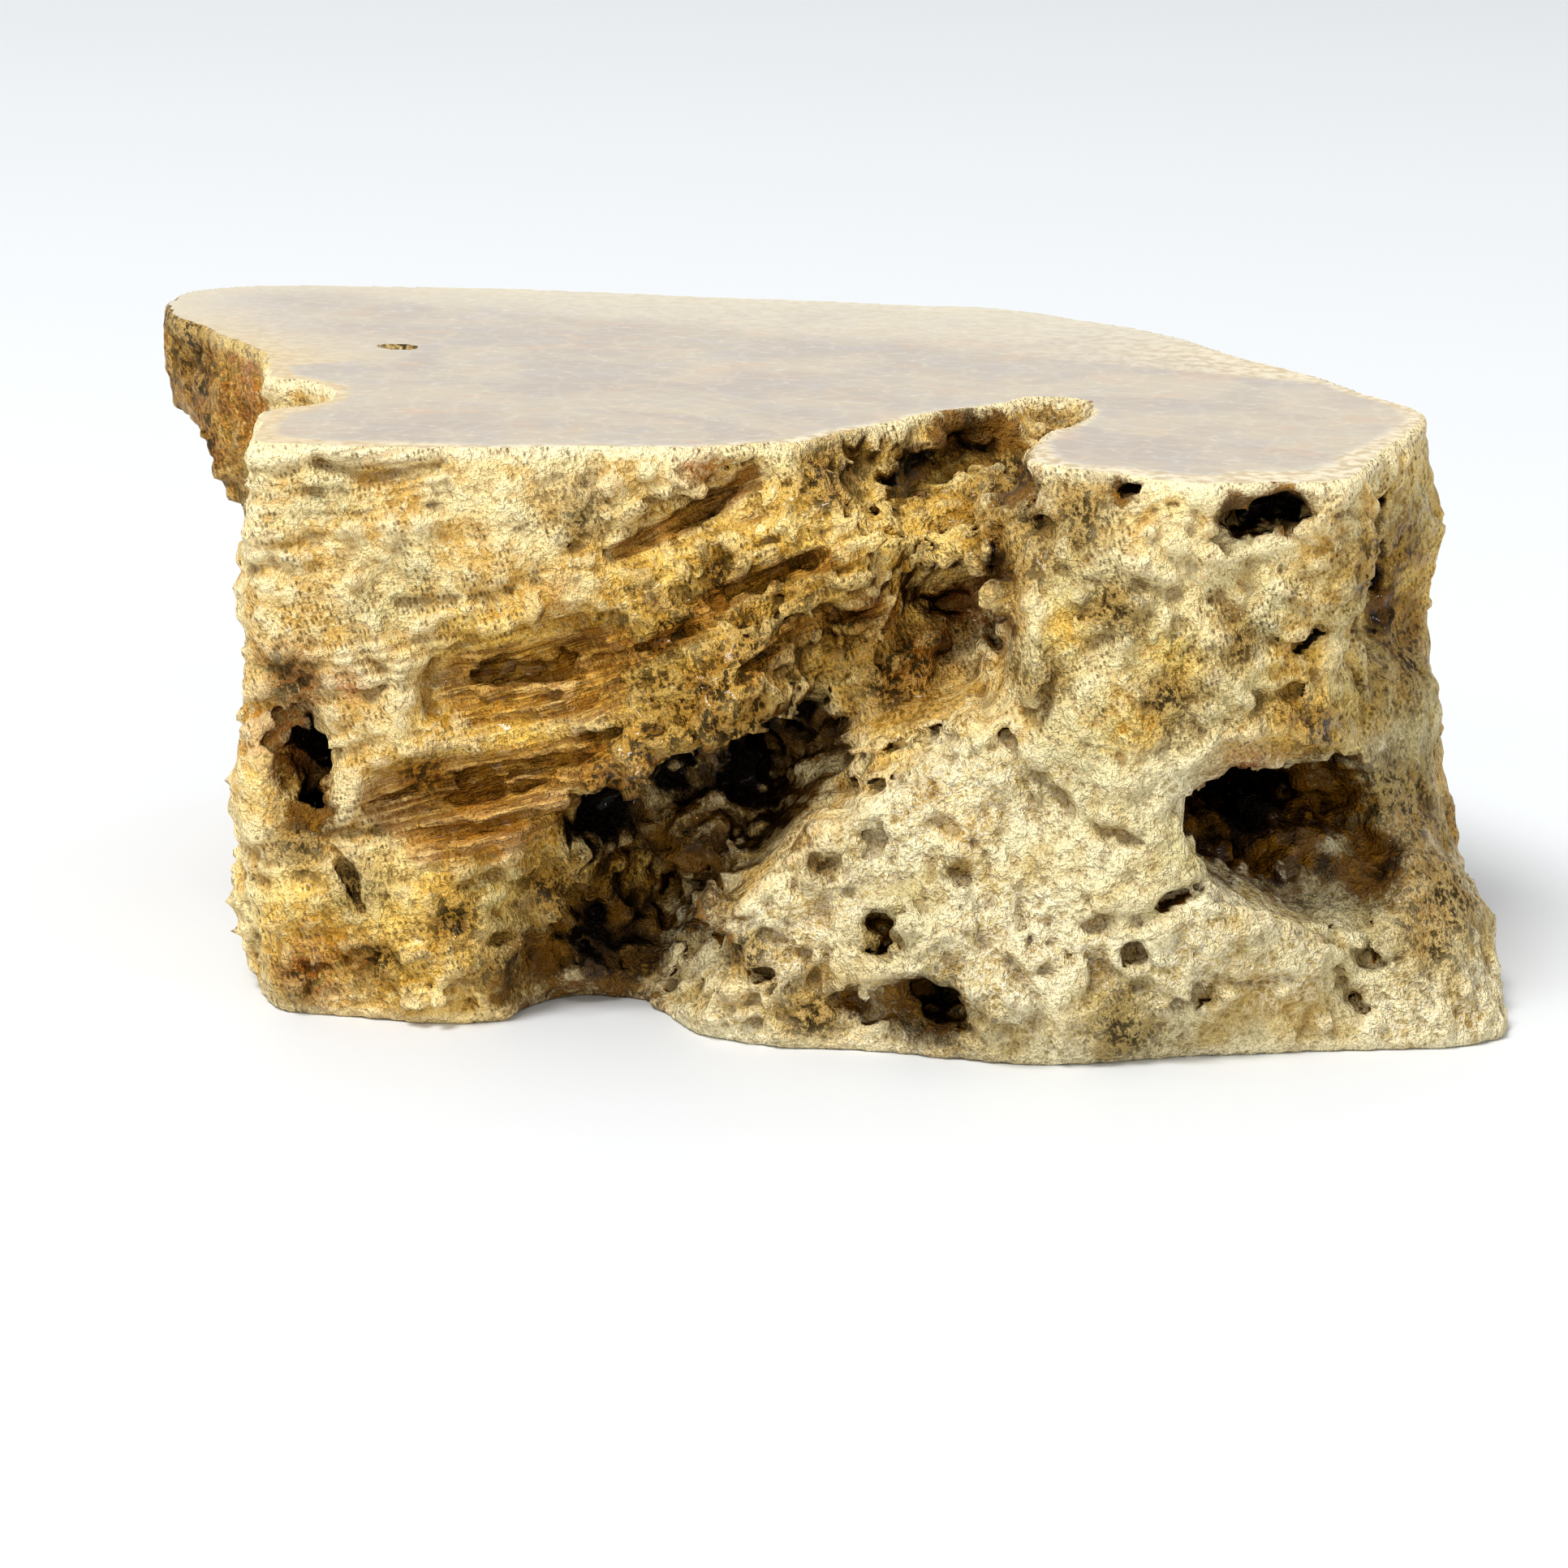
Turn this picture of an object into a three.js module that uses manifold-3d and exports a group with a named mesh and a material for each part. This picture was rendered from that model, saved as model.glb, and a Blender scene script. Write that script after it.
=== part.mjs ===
// A hand-sized block of agatized fossil coral, one solid piece of stone.
// Its top is a polished flat, its foot is a flat saw cut that it rests on, and its rim all round is the
// weathered coral: growth ledges, furrows, lumps, vugs and one deep cave that opens through the foot.
// Units are millimetres and +Z is up. In the design frame X runs along the front, Y runs from the front
// into the block and Z from the foot up. The finished mesh is moved so that its origin is the middle of
// the foot of its bounding box.
import * as THREE from "three";
import { ImprovedNoise } from "three/addons/math/ImprovedNoise.js";
import { mergeVertices } from "three/addons/utils/BufferGeometryUtils.js";
import Module from "manifold-3d";

// Driving dimensions
const THICKNESS = 52; // saw cut to polished face
const WAIST = 26; // height of the middle outline
const LENGTH_MIDDLE = 1.1; // X of the middle of the bounding box in the design frame
const DEPTH_MIDDLE = 39.2; // Y of the middle of the bounding box in the design frame
const COLUMNS_AHEAD = 4; // wall columns between two outline stations on the front
const COLUMNS_BEHIND = 3; // and on the sides and the back
const FRONT_STATIONS = 12;
const WALL_ROWS = 16; // wall rows between the two flats
const RIM_WEAR = 0.9; // how far the worn edge of each flat is set in
const LUMP_SIZE = 9; // wavelength of the broad lumps in the weathered rim
const LUMP_HEIGHT = 1.7;
const KNOB_SIZE = 4.6; // wavelength of the small knobs
const KNOB_HEIGHT = 1.1;
const LEDGE_PITCH = 6.2; // height of one growth ledge
const LEDGE_RISE = 0.28; // how steeply the ledges climb to the right
const LEDGE_HEIGHT = 0.9; // on the left of the block, fading towards its right
const HOLLOW_ROUGHNESS = 0.34; // share of its size by which a hollow's wall wanders
const MOST_WANDER = 2.2; // and the most that it wanders
const LUMP_ROUGHNESS = 0.22;
const FACET = 3.3; // aimed edge length of a hollow's faces

// Three outlines with their stations in the same order, anticlockwise from the front left corner:
// [top x, top y, waist x, waist y, foot x, foot y].
const STATIONS = [
  [-46.5, -2.0, -46.4, -2.2, -45.0, 1.2],
  [-38.0, -2.2, -38.0, -3.0, -37.0, -1.0],
  [-28.0, -2.4, -27.5, -3.8, -27.0, -2.0],
  [-18.0, -0.4, -17.5, -4.4, -18.5, 0.5],
  [-8.0, 1.0, -8.0, -4.6, -8.5, -2.4],
  [1.5, 4.0, 1.5, -5.2, -2.5, -7.0],
  [11.0, 1.5, 11.0, -7.2, 9.5, -8.2],
  [20.0, -3.5, 20.5, -9.4, 21.0, -10.0],
  [30.0, -11.0, 31.0, -11.2, 29.0, -9.2],
  [40.0, -12.2, 42.0, -9.2, 40.5, -6.6],
  [47.8, -8.8, 47.6, -6.4, 54.0, -4.4],
  [52.0, 3.0, 50.6, 2.6, 64.6, -0.6],
  [55.3, 13.5, 55.6, 12.5, 66.0, 8.0],
  [58.8, 26.5, 60.6, 25.5, 65.0, 23.0],
  [54.6, 36.0, 56.6, 37.0, 61.0, 36.0],
  [48.8, 48.0, 52.5, 48.0, 54.5, 48.0],
  [43.2, 58.6, 46.2, 60.0, 48.0, 60.0],
  [37.8, 70.8, 41.0, 72.0, 40.5, 70.0],
  [30.6, 78.0, 33.0, 80.5, 31.0, 77.0],
  [22.4, 85.4, 21.0, 87.0, 20.5, 82.5],
  [9.0, 87.2, 8.5, 88.2, 8.0, 84.0],
  [-7.0, 89.8, -8.5, 88.0, -8.0, 85.4],
  [-26.0, 92.6, -25.0, 89.0, -24.0, 86.4],
  [-45.0, 92.6, -41.0, 88.0, -38.0, 84.4],
  [-61.0, 89.4, -54.5, 83.5, -48.0, 78.0],
  [-64.2, 80.6, -58.0, 76.0, -50.5, 70.0],
  [-62.2, 69.6, -56.5, 66.0, -50.0, 60.0],
  [-57.0, 58.0, -53.5, 56.0, -48.0, 50.0],
  [-51.6, 48.0, -50.0, 47.0, -47.0, 41.0],
  [-49.6, 36.0, -47.8, 37.0, -46.4, 32.0],
  [-48.4, 21.0, -47.8, 24.0, -46.8, 21.0],
  [-47.2, 7.0, -48.2, 9.0, -47.2, 10.0],
];

// Swells and furrows of the wall: a line from one point to the other, its reach to each side, the width
// of its slope, and how far it stands out. A furrow stands out by less than nothing.
const RELIEF = [
  { name: "apron under the pillar", from: [12, -9, 11], to: [40, -10, 13], reach: 14, slope: 12, out: 3.2 },
  { name: "apron ridge foot", from: [-7, -4, 2], to: [-1.5, -6, 11.5], reach: 4.6, slope: 4, out: 1.8 },
  { name: "apron ridge", from: [-0.5, -6, 13], to: [4.5, -7, 21.5], reach: 4.4, slope: 4, out: 2.2 },
  { name: "apron shoulder", from: [5, -7, 23], to: [17, -9, 27], reach: 4.4, slope: 4, out: 2 },
  { name: "apron toe", from: [18, -10, 3], to: [28, -11, 3], reach: 8, slope: 7, out: 1.6 },
  { name: "apron hollow", from: [20, -11, 15], to: [30, -11, 9], reach: 4.5, slope: 4.5, out: -1.8 },
  { name: "pillar", from: [25, -10, 44], to: [29, -11, 28], reach: 8, slope: 5, out: 1.6 },
  { name: "pillar groove", from: [27, -11, 40], to: [33, -11, 33], reach: 4, slope: 4, out: -1.9 },
  { name: "middle recess", from: [6, -6, 31], to: [12, -7, 35], reach: 8.6, slope: 4.2, out: -8.4 },
  { name: "gully below the notch", from: [11.5, -6, 37], to: [11.5, -2, 50], reach: 6, slope: 3, out: -6 },
  { name: "recess corner", from: [12, -7, 31], to: [13.5, -7.5, 38], reach: 4.8, slope: 3, out: -3.6 },
  { name: "brow over the cave", from: [-17, -4, 24.5], to: [-5, -4, 30.5], reach: 5.6, slope: 4.6, out: 2.6 },
  { name: "brow rise", from: [-12, -4, 30], to: [-4, -4, 36], reach: 5.5, slope: 5, out: 1.3 },
  { name: "upper left furrow", from: [-31, -3, 30.5], to: [-17, -4, 34.5], reach: 4.6, slope: 3, out: -4.4 },
  { name: "rib in the furrow", from: [-30, -3, 33.6], to: [-21, -4, 35.6], reach: 2.8, slope: 2.6, out: 1.6 },
  { name: "ledge under the furrow", from: [-35, -3, 25.5], to: [-20, -4, 29], reach: 3, slope: 2.6, out: 1.2 },
  { name: "lower left furrow", from: [-35, -3, 19.5], to: [-19, -4, 24], reach: 4.2, slope: 3.4, out: -3 },
  { name: "tongue below it", from: [-30, -3, 17], to: [-19, -3, 19.5], reach: 3.6, slope: 3, out: 2 },
  { name: "groove under the rim", from: [-14, -1, 44], to: [-2, 0, 48.5], reach: 3.6, slope: 3, out: -3.6 },
  { name: "rib above the groove", from: [-19, -1, 46], to: [-7, 0, 50], reach: 3.4, slope: 3, out: 1.6 },
  { name: "second groove", from: [-8, -3, 39.3], to: [3, -3, 42.3], reach: 3.2, slope: 2.8, out: -3.2 },
  { name: "rib between the grooves", from: [-9, -2, 42.2], to: [2, -2, 46], reach: 3, slope: 2.6, out: 1.6 },
  { name: "rib under the second groove", from: [-8, -3, 36], to: [5, -4, 39.4], reach: 3, slope: 2.6, out: 1.2 },
  { name: "slope into the cave", from: [-20, -3, 12], to: [-15, -3, 15], reach: 7, slope: 6, out: -4 },
  { name: "left foot swell", from: [-40, -2, 6], to: [-28, -3, 7], reach: 8, slope: 7, out: 1.4 },
  { name: "slot dish", from: [-45.5, -2, 29.5], to: [-43.5, -2, 21], reach: 4.6, slope: 4.2, out: -2 },
  { name: "left post", from: [-46, -2, 16], to: [-46, -2, 26], reach: 4.5, slope: 4, out: 1.3 },
  { name: "left corner swell", from: [-48, 4, 12], to: [-48, 2, 18], reach: 8, slope: 7, out: 1.6 },
  { name: "front right post", from: [50, -4, 44], to: [52, 0, 29], reach: 5, slope: 4, out: 2 },
  { name: "post waist", from: [46, -6, 36], to: [53, 3, 36], reach: 5, slope: 4, out: -1.6 },
  { name: "dish under the rim vug", from: [39, -12, 44.6], to: [43, -11, 44.6], reach: 4, slope: 4, out: -2 },
  { name: "right foot flare", from: [62, 4, 7], to: [64, 24, 9], reach: 11, slope: 10, out: 2.2 },
  { name: "right side furrow", from: [58, 20, 34], to: [50, 46, 27], reach: 6, slope: 5, out: -3 },
  { name: "right side rib", from: [57, 28, 43], to: [47, 56, 36], reach: 6, slope: 5, out: 2 },
  { name: "right foot groove", from: [63, 22, 10], to: [52, 50, 8], reach: 5, slope: 4, out: -2.4 },
  { name: "back right swell", from: [42, 68, 22], to: [28, 82, 30], reach: 12, slope: 10, out: 2.6 },
  { name: "back furrow", from: [22, 86, 38], to: [-4, 89, 30], reach: 7, slope: 6, out: -3.6 },
  { name: "back rib", from: [20, 86, 24], to: [-16, 88, 18], reach: 6, slope: 5, out: 2.4 },
  { name: "back left furrow", from: [-18, 88, 12], to: [-44, 84, 22], reach: 7, slope: 6, out: -3.2 },
  { name: "back left rib", from: [-14, 89, 27], to: [-46, 87, 34], reach: 5, slope: 4, out: 1.6 },
  { name: "left side furrow", from: [-50, 44, 34], to: [-49, 20, 24], reach: 6, slope: 5, out: -2.6 },
  { name: "left side rib", from: [-48, 48, 14], to: [-48, 16, 8], reach: 7, slope: 6, out: 1.8 },
];

// Hollows cut into the block. Each is a spine of stations [x, y, z, half width, half height] that starts
// outside the wall and ends at its blind tip. Tilt turns its section about the spine, in degrees.
const HOLLOWS = [
  // the cave in the front, its side pockets and its way out through the foot
  {
    name: "cave",
    spine: [
      [-8.5, -13, 18, 12.5, 6.4],
      [-7.5, -1, 19.3, 12.2, 6.4],
      [-4.5, 9, 21, 9, 5.4],
      [-1.5, 18, 23, 4, 3],
    ],
    tilt: 24,
  },
  {
    name: "cave left corner",
    spine: [
      [-18.5, -11, 18.7, 4.6, 2.8],
      [-16.5, -1, 19, 4.6, 2.6],
      [-12, 8, 19, 2.4, 1.6],
    ],
    tilt: 16,
  },
  {
    name: "cave right chamber",
    spine: [
      [2.6, -13, 25, 4.6, 4.6],
      [3, 0, 25.2, 4.8, 4.8],
      [1.5, 11, 26, 3, 3],
    ],
    tilt: 30,
  },
  {
    name: "cave foot",
    spine: [
      [-13, -13, 8.5, 7.6, 8],
      [-12, -1, 9, 7.6, 8.4],
      [-10.5, 8, 10, 6, 6.6],
      [-9, 15, 12, 2.8, 3.6],
    ],
    tilt: -14,
  },
  {
    name: "cave low pocket",
    spine: [
      [-21, -10, 4.4, 3.8, 3.6],
      [-19.6, 0, 4.8, 4.4, 3.8],
      [-17, 7, 5, 2.6, 2.4],
    ],
    tilt: 16,
  },
  {
    name: "foot notch",
    spine: [
      [-17.5, -10, -1, 8.4, 5.4],
      [-17.2, 0, -1, 7.8, 5.2],
      [-15.5, 7.2, 0, 4.6, 3.6],
    ],
    tilt: 0,
  },
  // the slot at the head of the middle recess
  {
    name: "recess roof slot",
    spine: [
      [14, -9, 36.6, 4.4, 2.4],
      [14.2, 1, 37.2, 5, 2.6],
      [12.5, 9, 37.4, 3, 1.7],
    ],
    tilt: 8,
  },
  // the notch that bites through the top edge, and the pocket in its left wall
  {
    name: "notch",
    spine: [
      [7, -15, 51.5, 11, 7.4],
      [9.5, -3, 52, 11, 8.2],
      [15.5, 11, 53, 7.6, 7.8],
      [21.5, 22, 53.6, 5.6, 6.8],
      [25.6, 30.5, 54.6, 3, 4],
    ],
    tilt: 0,
  },
  {
    name: "notch pocket",
    spine: [
      [14, -5, 47, 4, 3.4],
      [10.5, 4, 47.4, 3.8, 3],
      [6, 11, 47.8, 2.2, 1.9],
    ],
    tilt: 0,
  },
  // the big vug at the lower right and its deep end
  {
    name: "right vug",
    spine: [
      [50.5, -18, 18.8, 13.6, 8.2],
      [48, -4, 19.2, 13, 8],
      [45, 6, 19, 8.6, 5.8],
      [42, 14, 19.4, 3.8, 3],
    ],
    tilt: -12,
  },
  {
    name: "right vug throat",
    spine: [
      [40.6, -18, 22.6, 5.8, 4.6],
      [39.6, -4, 22.2, 5.4, 4.8],
      [38, 6, 21.6, 5, 4.6],
      [37, 15, 21, 2.4, 2.4],
    ],
    tilt: 20,
  },
  // small vugs of the front
  {
    name: "vug under the rim",
    spine: [
      [41.4, -17, 48.4, 5.2, 2.5],
      [40.8, -8, 48.8, 5, 2.3],
      [39.8, -1, 48.8, 2.6, 1.4],
    ],
    tilt: 14,
  },
  {
    name: "crack pocket",
    spine: [
      [29, -17, 49.6, 2.8, 1.4],
      [29, -10, 49.9, 2.6, 1.3],
      [29, -6, 50, 1.4, 0.8],
    ],
    tilt: 0,
  },
  {
    name: "pillar pit",
    spine: [
      [20, -14, 47.4, 2.2, 1.7],
      [21, -6, 47.6, 2.2, 1.6],
      [22, -1, 47.6, 1.3, 1],
    ],
    tilt: 0,
  },
  {
    name: "left slot",
    spine: [
      [-42.3, -11, 23.4, 2.5, 6.4],
      [-42, -1, 23.4, 2.5, 6.2],
      [-41.2, 5, 23, 1.5, 3.6],
    ],
    tilt: 8,
  },
  {
    name: "hollow over the slot",
    spine: [
      [-44, -9, 30.4, 4, 1.9],
      [-44, -2.4, 30.4, 3.6, 1.7],
      [-43.6, 0.6, 30.2, 1.8, 0.9],
    ],
    tilt: -6,
  },
  {
    name: "apron cup",
    spine: [
      [8.2, -17, 11.4, 2.6, 2.2],
      [8.5, -10, 11.6, 2.6, 2.2],
      [9, -7, 11.6, 1.4, 1.2],
    ],
    tilt: 0,
  },
  {
    name: "apron hole",
    spine: [
      [13.2, -18, 4.6, 4.4, 2.6],
      [13.4, -9, 5, 4.2, 2.6],
      [13.4, -4, 5.2, 2.2, 1.5],
    ],
    tilt: -8,
  },
  // the right flank, seen behind the front post
  {
    name: "flank vug",
    spine: [
      [64, -4, 38, 7, 6.4],
      [56, 7.5, 37.6, 6.2, 6],
      [49.5, 15, 37.6, 3.2, 3.2],
    ],
    tilt: 0,
  },
  {
    name: "upper flank vug",
    spine: [
      [64, -3, 46.6, 4.4, 3],
      [56, 7.5, 46.8, 4, 2.8],
      [51, 13, 47, 2, 1.6],
    ],
    tilt: 0,
  },
  // the left bite and the hollow under the back left lobe
  {
    name: "left bite",
    spine: [
      [-64, 22, 45, 11, 17],
      [-50, 24, 47, 9.4, 14.5],
      [-43, 26.5, 48.5, 6, 9],
    ],
    tilt: 0,
  },
  {
    name: "hollow under the lobe",
    spine: [
      [-70, 36, 22, 8, 13],
      [-66, 54, 20, 16, 21.5],
      [-65, 72, 20, 18, 22.4],
      [-66, 94, 18.5, 15, 19.5],
      [-68, 108, 18, 8, 12],
    ],
    tilt: 0,
  },
  // vugs of the right side, the back and the left side
  {
    name: "right side vug",
    spine: [
      [67, 44, 17.4, 8, 5.6],
      [57, 40, 18, 7.4, 5.2],
      [50, 36, 18.6, 3.4, 2.8],
    ],
    tilt: 12,
  },
  {
    name: "right back vug",
    spine: [
      [53, 72, 38.5, 8, 4.6],
      [45, 65, 38, 7, 4.2],
      [38, 60, 37.6, 3, 2.2],
    ],
    tilt: -14,
  },
  {
    name: "back vug",
    spine: [
      [14, 99, 14, 10.5, 5.8],
      [12, 88, 14.4, 9.6, 5.4],
      [10, 79, 15, 4.6, 3],
    ],
    tilt: -14,
  },
  {
    name: "back high vug",
    spine: [
      [-31, 101, 40, 7.4, 4.2],
      [-30, 91, 40, 6.8, 4],
      [-28, 84, 40, 3, 2],
    ],
    tilt: 12,
  },
  {
    name: "back low vug",
    spine: [
      [-36, 95, 10, 5.6, 4],
      [-36, 86, 10, 5.4, 3.8],
      [-35, 80, 10.4, 2.6, 2],
    ],
    tilt: 20,
  },
  {
    name: "left side vug",
    spine: [
      [-60, 41, 20, 6.4, 4.8],
      [-50, 40, 20, 5.8, 4.4],
      [-44, 39, 20.4, 2.6, 2.2],
    ],
    tilt: 0,
  },
  // small openings in the two flats
  {
    name: "vug in the polish",
    spine: [
      [-38.5, 52.5, 55, 2.9, 2.1],
      [-38.5, 52.5, 52, 2.7, 2],
      [-38.2, 52.6, 49.8, 1.3, 1],
    ],
    tilt: 8,
  },
  {
    name: "vug in the saw cut",
    spine: [
      [24, 48, -3, 4.4, 3],
      [24, 48, 0, 4, 2.7],
      [24.5, 48, 2.4, 2, 1.4],
    ],
    tilt: 30,
  },
];

// Lumps that stand on the floors of the hollows, each sunk in the wall that carries it.
const LUMPS = [
  { name: "cave floor lump", at: [-5.5, 13, 14.5], half: [5, 6, 4.4] },
  { name: "cave back rib", at: [-6, 16.5, 22], half: [2.6, 5, 5.6] },
  { name: "cave roof knob", at: [3.5, 11, 29.6], half: [3, 4, 2.6] },
  { name: "cave low knob", at: [-17.5, 8, 4.4], half: [3.2, 3.2, 2.6] },
  { name: "cave right knob", at: [-6, 8, 5.6], half: [2.8, 4.6, 3.4] },
  { name: "vug floor lump", at: [45.5, 8.5, 14.6], half: [6.5, 5, 3.6] },
];

const noise = new ImprovedNoise();
const noiseAt = (x, y, z, size, shift) =>
  noise.noise(x / size + shift, y / size + shift * 1.7, z / size - shift);

const smooth = (t) => t * t * (3 - 2 * t);

// The curve through one pair of columns of the outline table, closed.
function outline(column) {
  return new THREE.CatmullRomCurve3(
    STATIONS.map((row) => new THREE.Vector3(row[column], row[column + 1], 0)),
    true,
    "centripetal",
  );
}

// How far the wall stands out at a point, from its swells, furrows, lumps, knobs and growth ledges.
function wallRelief(point) {
  let out = 0;
  const line = new THREE.Line3();
  const nearest = new THREE.Vector3();
  for (const { from, to, reach, slope, out: height } of RELIEF) {
    line.start.fromArray(from);
    line.end.fromArray(to);
    line.closestPointToPoint(point, true, nearest);
    const inside = (reach - nearest.distanceTo(point)) / slope;
    out += height * smooth(THREE.MathUtils.clamp(inside, 0, 1));
  }
  const { x, y, z } = point;
  out += LUMP_HEIGHT * noiseAt(x, y, z, LUMP_SIZE, 3.1);
  out += KNOB_HEIGHT * noiseAt(x, y, z, KNOB_SIZE, 7.3);
  const layer = (z - LEDGE_RISE * x + 5 * noiseAt(x, y, z, 26, 1.3)) / LEDGE_PITCH;
  const shelly = THREE.MathUtils.lerp(1, 0.35, THREE.MathUtils.smoothstep(x, -5, 20));
  out += LEDGE_HEIGHT * shelly * (0.5 - (layer - Math.floor(layer)));
  return out;
}

// The block before its hollows are cut: a wall lofted through the three outlines, closed by two flats.
function blockGeometry() {
  const [top, waist, foot] = [outline(0), outline(2), outline(4)];
  const places = STATIONS.flatMap((_, i) => {
    const steps = i < FRONT_STATIONS ? COLUMNS_AHEAD : COLUMNS_BEHIND;
    return Array.from({ length: steps }, (_, step) => (i + step / steps) / STATIONS.length);
  });
  const columns = places.length;
  const heights = [0, 0.7];
  for (let row = 1; row < WALL_ROWS; row++) heights.push((THICKNESS * row) / WALL_ROWS);
  heights.push(THICKNESS - 0.7, THICKNESS);

  const rings = heights.map((z) => {
    const flat = z === 0 || z === THICKNESS;
    const up = (z - WAIST) / WAIST; // -1 at the foot, 0 at the waist, 1 at the top
    const share = { top: (up * (up + 1)) / 2, waist: 1 - up * up, foot: (up * (up - 1)) / 2 };
    const blend = (atTop, atWaist, atFoot) =>
      new THREE.Vector3()
        .addScaledVector(atTop, share.top)
        .addScaledVector(atWaist, share.waist)
        .addScaledVector(atFoot, share.foot);
    const ring = [];
    for (const t of places) {
      const point = blend(top.getPoint(t), waist.getPoint(t), foot.getPoint(t)).setZ(z);
      const along = blend(top.getTangent(t), waist.getTangent(t), foot.getTangent(t));
      const outward = new THREE.Vector3(along.y, -along.x, 0).normalize();
      const edge = Math.min(1, Math.min(z, THICKNESS - z) / 5); // the relief fades to the two flats
      const out = wallRelief(point) * (0.35 + 0.65 * edge) - (flat ? RIM_WEAR : 0);
      ring.push(point.addScaledVector(outward, out));
    }
    return ring;
  });

  const flatten = (ring) => ring.map((p) => new THREE.Vector2(p.x, p.y));
  const faces = stripFaces(rings.flat(), columns);
  const last = (rings.length - 1) * columns;
  for (const [a, b, c] of THREE.ShapeUtils.triangulateShape(flatten(rings[0]), [])) {
    faces.push(a, c, b);
  }
  for (const [a, b, c] of THREE.ShapeUtils.triangulateShape(flatten(rings.at(-1)), [])) {
    faces.push(last + a, last + b, last + c);
  }
  return shell(rings.flat(), faces);
}

// The faces between neighbouring rings of points, each ring closed on itself. Each four-sided patch is
// split along its shorter diagonal.
function stripFaces(points, columns) {
  const faces = [];
  for (let row = 0; row + columns < points.length; row += columns) {
    for (let column = 0; column < columns; column++) {
      const [a, b] = [row + column, row + ((column + 1) % columns)];
      const [c, d] = [a + columns, b + columns];
      const leaning = points[a].distanceTo(points[d]) < points[b].distanceTo(points[c]);
      faces.push(...(leaning ? [a, b, d, a, d, c] : [a, b, c, b, d, c]));
    }
  }
  return faces;
}

function shell(points, faces) {
  return new THREE.BufferGeometry()
    .setAttribute("position", new THREE.Float32BufferAttribute(points.flatMap((p) => p.toArray()), 3))
    .setIndex(faces);
}

// A hollow: rings of rough section about its spine, closed by a fan at each end.
function hollowGeometry({ spine, tilt }, seed) {
  const curve = new THREE.CatmullRomCurve3(spine.map(([x, y, z]) => new THREE.Vector3(x, y, z)));
  const sizes = new THREE.CatmullRomCurve3(spine.map(([, , , wide, high]) => new THREE.Vector3(wide, high, 0)));
  const largest = Math.max(...spine.map(([, , , wide, high]) => (wide + high) / 2));
  const steps = Math.max(3, Math.round(curve.getLength() / FACET));
  const columns = Math.max(8, Math.round((2 * Math.PI * largest) / FACET));
  const turn = THREE.MathUtils.degToRad(tilt);
  const points = [];
  for (let row = 0; row <= steps; row++) {
    const t = row / steps;
    const middle = curve.getPoint(t);
    const along = curve.getTangent(t);
    const upright = Math.abs(along.z) > 0.9;
    const side = upright
      ? new THREE.Vector3(1, 0, 0)
      : new THREE.Vector3(0, 0, 1).cross(along).multiplyScalar(-1).normalize();
    const high = along.clone().cross(side).multiplyScalar(-1).normalize();
    side.applyAxisAngle(along, -turn);
    high.applyAxisAngle(along, -turn);
    const size = sizes.getPoint(t);
    for (let column = 0; column < columns; column++) {
      const angle = (-2 * Math.PI * column) / columns;
      const point = middle
        .clone()
        .addScaledVector(side, size.x * Math.cos(angle))
        .addScaledVector(high, size.y * Math.sin(angle));
      const { x, y, z } = point;
      const reach = point.distanceTo(middle);
      const wander = noiseAt(x, y, z, 6.5, seed) + 0.6 * noiseAt(x, y, z, 3.1, seed);
      const out = Math.min(HOLLOW_ROUGHNESS * reach, MOST_WANDER) * wander;
      points.push(point.sub(middle).setLength(reach + out).add(middle));
    }
  }
  const faces = stripFaces(points, columns);
  const [start, end] = [points.length, points.length + 1];
  points.push(curve.getPoint(0), curve.getPoint(1).addScaledVector(curve.getTangent(1), 0.8));
  for (let column = 0; column < columns; column++) {
    const next = (column + 1) % columns;
    faces.push(start, next, column);
    faces.push(end, steps * columns + column, steps * columns + next);
  }
  return shell(points, faces);
}

// A rough closed lump.
function lumpGeometry({ at, half }, seed) {
  const geometry = new THREE.IcosahedronGeometry(1, 2);
  const position = geometry.getAttribute("position");
  const p = new THREE.Vector3();
  for (let i = 0; i < position.count; i++) {
    p.fromBufferAttribute(position, i);
    const wander = noiseAt(p.x, p.y, p.z, 0.9, seed) + 0.5 * noiseAt(p.x, p.y, p.z, 0.4, seed);
    p.multiplyScalar(1 + LUMP_ROUGHNESS * wander);
    position.setXYZ(i, at[0] + half[0] * p.x, at[1] + half[1] * p.y, at[2] + half[2] * p.z);
  }
  return geometry;
}

const wasm = await Module();
wasm.setup();

function solid(geometry) {
  geometry.deleteAttribute("normal");
  geometry.deleteAttribute("uv");
  const merged = mergeVertices(geometry, 1e-4);
  const made = new wasm.Manifold(
    new wasm.Mesh({
      numProp: 3,
      vertProperties: merged.attributes.position.array,
      triVerts: new Uint32Array(merged.index.array),
    }),
  );
  if (made.volume() <= 0) throw new Error("a piece is inside out");
  return made;
}

function geometryOf(manifold) {
  const { vertProperties, triVerts } = manifold.getMesh();
  const geometry = new THREE.BufferGeometry()
    .setAttribute("position", new THREE.BufferAttribute(vertProperties, 3))
    .setIndex(new THREE.BufferAttribute(triVerts, 1));
  geometry.computeVertexNormals();
  return geometry;
}

let stone = solid(blockGeometry());
HOLLOWS.forEach((hollow, i) => {
  stone = stone.subtract(solid(hollowGeometry(hollow, 11.7 + i)));
});
LUMPS.forEach((lump, i) => {
  stone = stone.add(solid(lumpGeometry(lump, 61.3 + i)));
});

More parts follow.
